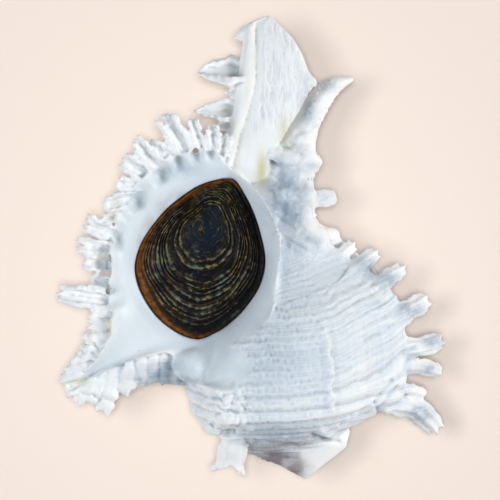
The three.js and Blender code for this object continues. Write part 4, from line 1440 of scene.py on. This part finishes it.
def shell_finish():
    """Chalky white, stained in places, with painted shade in hollows, dimples, dishes and faces turned from
    the light, painted highlights on crests, and a porcelain glaze round the aperture.
    """
    made, bench = finish("shell_white")
    glaze, bare, plate, pit = (bench.kept(name) for name in ("glaze", "bare", "plate", "pit"))
    turn, height = bench.kept("turn"), bench.kept("height")
    where = bench.node("ShaderNodeTexCoord", None, None, "Object")
    mottle = bench.noise(where, 60.0, 4.0)
    blotch = bench.noise(where, 240.0, 5.0)
    grain = bench.noise(where, 900.0, 3.0)
    drawn = bench.node("ShaderNodeVectorMath", {"operation": "MULTIPLY"}, {0: where, 1: STREAK_SCALES})
    streak = bench.noise(drawn, 1.0, 3.0)
    thread = bench.noise(bench.vector(turn * 0.03, height * 1.4, 0.0), 1.0, 3.0)
    growth = bench.noise(bench.vector(turn * 0.3, height * 0.08, 0.0), 1.0, 2.0)
    rings = bench.noise(bench.vector(bench.kept("ring") * 40.0, mottle, 0.0), 5.0, 2.0)
    dark_thread = bench.range(thread, 0.5, 0.64)
    specks = 0.5 + grain * 0.5 + dark_thread * (1 - glaze) * 0.25
    spots = bench.range(blotch, 0.3, 0.62, 0.5, 1.0) * specks
    shares = {
        "frond": 1 - bare,
        # painted shade in the dimples
        "net": bench.kept("net") * 0.6,
        # painted highlight on crests and painted shade in hollows, from how far each point is sunk
        "crest": bench.range(pit, -0.03, -0.3) * 0.7,
        "hollow": bench.range(pit, 0.03, 0.35) * 0.75,
        "thread": dark_thread * bare * 0.35,
        "streak": bench.range(streak, 0.54, 0.36) * plate * 0.35,
        "glaze": glaze,
        "ring": bench.range(rings, 0.42, 0.62) * glaze * 0.25,
        # painted shade where the glaze runs down to the operculum
        "foot": bench.kept("foot") * glaze * 0.4,
        # painted shade, mottled by blotches
        "grey": bench.math("MULTIPLY", bench.kept("grey"), spots, clamp=True),
        # painted shade in the lip's dishes
        "dish": bench.kept("dish") * 0.5,
        "olive": bench.kept("olive"),
        # lilac stain, and painted shade on the spire fold's left face
        "lilac": bench.kept("lilac") * bench.range(blotch, 0.3, 0.62, 0.6, 1.0),
        # painted shade at the operculum's upper-left edge, and a tan stain at the spire
        "tan": bench.kept("tan") * 0.6,
    }
    chalk = bench.mix(bench.range(mottle, 0.35, 0.7), *CHALK)
    colour = bench.layers(chalk, [(share, TINTS[name]) for name, share in shares.items()])
    rough = 1 - glaze
    roughness = 0.4 + rough * 0.22 + (grain - 0.5) * 0.1
    relief = (growth * 0.2 + grain * 0.35) * rough - thread * bare * 0.7 + streak * plate * 0.7
    paint(bench, colour, roughness, bench.bumped(relief, 0.5, 0.0006))
    return made


def operculum_finish():
    """Dark horn in shelves with ridge tops painted lighter, blue-black round the nucleus, brown at the rim,
    and painted shade on its right.
    """
    made, bench = finish("operculum_horn")
    growth, amber, ridge = bench.kept("growth"), bench.kept("amber"), bench.kept("ridge")
    where = bench.node("ShaderNodeTexCoord", None, None, "Object")
    mottle = bench.noise(where, 140.0, 5.0)
    fleck = bench.noise(where, 650.0, 4.0)
    hue = bench.noise(where, 110.0, 3.0)
    layer = bench.noise(bench.vector(growth * 55.0, mottle * 2.0, 0.0), 1.0, 4.0)
    spoke = bench.node("ShaderNodeAttribute", {"attribute_name": "spoke"}, None, "Vector")
    strand = bench.noise(spoke, 1.0, 3.0)
    centre = bench.range(growth, 0.12, 0.42, 1.0, 0.0)
    patchy = bench.range(mottle + (fleck - 0.5) * 0.4, 0.47, 0.53)
    # ridge tops lighter: partly the horn's own banding, partly a painted highlight where light catches the
    # shelves
    light = ridge * 0.64 + layer * 0.3 + (strand - 0.6) * 0.8 + (fleck - 0.5) * 1.5 + (mottle - 0.5) * 0.9
    light = light + centre * (1 - patchy) * 0.45
    horn = bench.node("ShaderNodeValToRGB", {"stops": HORN_STOPS}, {"Fac": light}, "Color")
    tinted = bench.mix(bench.range(mottle, 0.46, 0.6) * 0.8, horn, BLUE_CAST, "MULTIPLY")
    golden = bench.mix(bench.range(hue, 0.48, 0.6) * 0.8, tinted, GOLD_CAST, "MULTIPLY")
    coats = [
        (bench.range(layer, 0.54, 0.62) * (1 - centre) * 0.5, RUST),
        (centre * patchy * 0.9, BLUE_BLACK),
        # painted shade on the right and darker towards the bottom
        (bench.kept("dim") * 0.85, SHADE_BROWN),
        (amber, bench.mix(bench.range(fleck + layer, 0.8, 1.2), *AMBER)),
    ]
    normal = bench.bumped(layer * 0.7 + fleck * 0.5, 0.7, 0.0006)
    paint(bench, bench.layers(golden, coats), 0.42 + mottle * 0.25, normal, **{"Specular IOR Level": 0.16})
    return made


# The operculum

def rounded(angle, reach):
    """The reach in each direction without its corners: its mean and its first two waves."""
    even = np.linspace(0, 2 * math.pi, 720, endpoint=False)
    sampled = np.interp(even, angle, reach, period=2 * math.pi)
    total = sampled.mean()
    for wave in (1, 2):
        total = total + 2 * np.mean(sampled * np.cos(wave * even)) * np.cos(wave * angle)
        total = total + 2 * np.mean(sampled * np.sin(wave * even)) * np.sin(wave * angle)
    return total


def growth_ridges(share, angle):
    """The rise of the ridges round one ring of the plate, from 0 to 1, and the wave that they follow."""
    wave = share + 0.018 * wander(angle * 1.5 + share * 2, 51, 2.2)
    wave = wave + 0.004 * wander(angle * 7 + share * 9, 57, 1.3)
    phase = (wave**1.5 * RINGS + 0.5 * np.sin(wave * 9) + 0.3 * np.sin(wave * 29 + 1)) % 1.0
    shelf = np.where(phase < 0.7, (phase / 0.7) ** 1.4, (1 - phase) / 0.3)
    return shelf * smooth(share, 0.08, 0.3), wave


def note_operculum(mesh, points, rings, angle, reach):
    """Notes at each point of the plate what its finish reads there."""
    x, y, _ = points.T
    growth = np.repeat([share for share, _, _ in rings], len(angle))
    inward = (1 - growth) * np.tile(reach, len(rings))
    broad = np.tile(np.interp(np.degrees(angle) % 360, *np.transpose(AMBER_RIM)), len(rings))
    # painted shade on the right, where the inner lip overhangs, and darker towards the bottom
    right = np.maximum(smooth(x, -9, -1), 0.9 * smooth(-y, 17, 26))
    rim = (1 - smooth(inward, 0.7 * broad, 1.15 * broad + 0.05)) * np.minimum(broad / 0.4, 1)
    stain = 0.45 * (1 - smooth(inward, 0, 2.6 * broad + 0.1))
    round_it = np.tile(np.column_stack([np.cos(angle), np.sin(angle)]), (len(rings), 1))
    attach(mesh, "dim", right * smooth(growth, 0.72, 0.92))
    attach(mesh, "growth", growth)
    attach(mesh, "ridge", np.concatenate([ridge for _, _, ridge in rings]))
    attach(mesh, "amber", np.maximum(rim, stain))
    attach(mesh, "spoke", np.column_stack([3 * round_it, 60 * growth]), "FLOAT_VECTOR")


def operculum_shape():
    """The plate in rings round the nucleus, its face ridged by growth."""
    rows = np.linspace(0, len(APERTURE), OPERCULUM_SIDES, endpoint=False)
    spokes = through(APERTURE[:, :2], rows, closed=True) - NUCLEUS
    reach = np.linalg.norm(spokes, axis=1)
    spokes = spokes * (1 - FIT_GAP / reach)[:, None]
    angle = np.arctan2(spokes[:, 1], spokes[:, 0])
    inner = unit(spokes) * rounded(angle, reach)[:, None]
    level = np.zeros(OPERCULUM_SIDES)
    rings = [(share, level + lift, level) for share, lift in OPERCULUM_BACK]
    for share in np.linspace(0.99, 0.02, RING_SECTIONS):
        ridge, wave = growth_ridges(share, angle)
        crown = OPERCULUM_CROWN * (1 - share**2)
        rings.append((share, crown - 1.5 + RING_RISE * ridge + 0.1 * wander(wave, 53, 0.03), ridge))
    sections = []
    for share, lift, _ in rings:
        place = NUCLEUS + (spokes * share**2 + inner * (1 - share**2)) * share
        sections.append(np.column_stack([place, plane(place[:, 1]) + lift]))
    piece = tube_piece("operculum_plate", sections)
    points = np.concatenate(sections)
    note_operculum(piece.data, points, rings, angle, reach)
    set_points(piece.data, (points - CENTRE) * MM)
    piece.data.shade_smooth()
    return piece


# The picture

def floor():
    """The pale floor, with a little of paper's tooth."""
    corners = [(x * FLOOR_SIZE, y * FLOOR_SIZE, 0) for x, y in ((-1, -1), (1, -1), (1, 1), (-1, 1))]
    piece = mesh_piece("floor", corners, [(0, 1, 2, 3)])
    made, bench = finish("floor_paper")
    where = bench.node("ShaderNodeTexCoord", None, None, "Object")
    paint(bench, FLOOR_COLOUR, 0.9, bench.bumped(bench.noise(where, 400.0, 2.0), 0.05, 0.0005))
    piece.data.materials.append(made)
    return piece


def lamp(name, place, aim, size, power, colour, on):
    """A round soft lamp that lights only the pieces it is set on."""
    light = bpy.data.lights.new(name, "AREA")
    light.shape = "DISK"
    light.size = size
    light.energy = power
    light.color = colour
    made = bpy.data.objects.new(name, light)
    made.location = place
    made.rotation_euler = (Vector(aim) - Vector(place)).to_track_quat("-Z", "Y").to_euler()
    bpy.context.scene.collection.objects.link(made)
    lit = bpy.data.collections.new(name + "_lights")
    for piece in on:
        lit.objects.link(piece)
    made.light_linking.receiver_collection = lit


def camera():
    """A camera straight above the shell."""
    view = bpy.data.cameras.new("camera")
    view.lens = view.sensor_width * CAMERA_DISTANCE / PICTURE_WIDTH
    made = bpy.data.objects.new("camera", view)
    made.location = (*PICTURE_MIDDLE, CAMERA_DISTANCE + PICTURE_LEVEL)
    bpy.context.scene.collection.objects.link(made)
    bpy.context.scene.camera = made


def light_scene(thing, ground):
    world = bpy.data.worlds.new("studio")
    world.use_nodes = True
    sky = world.node_tree.nodes["Background"]
    sky.inputs["Color"].default_value = SKY_COLOUR
    sky.inputs["Strength"].default_value = SKY_STRENGTH
    bpy.context.scene.world = world
    for values in SHELL_LAMPS:
        lamp(*values, thing)
    for values in FLOOR_LAMPS:
        lamp(*values, [ground])
    bpy.context.scene.view_settings.view_transform = "Standard"


def main():
    white = shell_finish()
    shell = dress_shell(shell_shape(white))
    shell.data.materials.clear()
    shell.data.materials.append(white)
    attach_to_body(shell, "root")
    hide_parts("shell")
    plate = operculum_shape()
    plate.data.materials.append(operculum_finish())
    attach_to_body(plate, "root")
    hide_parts("operculum")
    light_scene([shell, plate], floor())
    camera()


main()
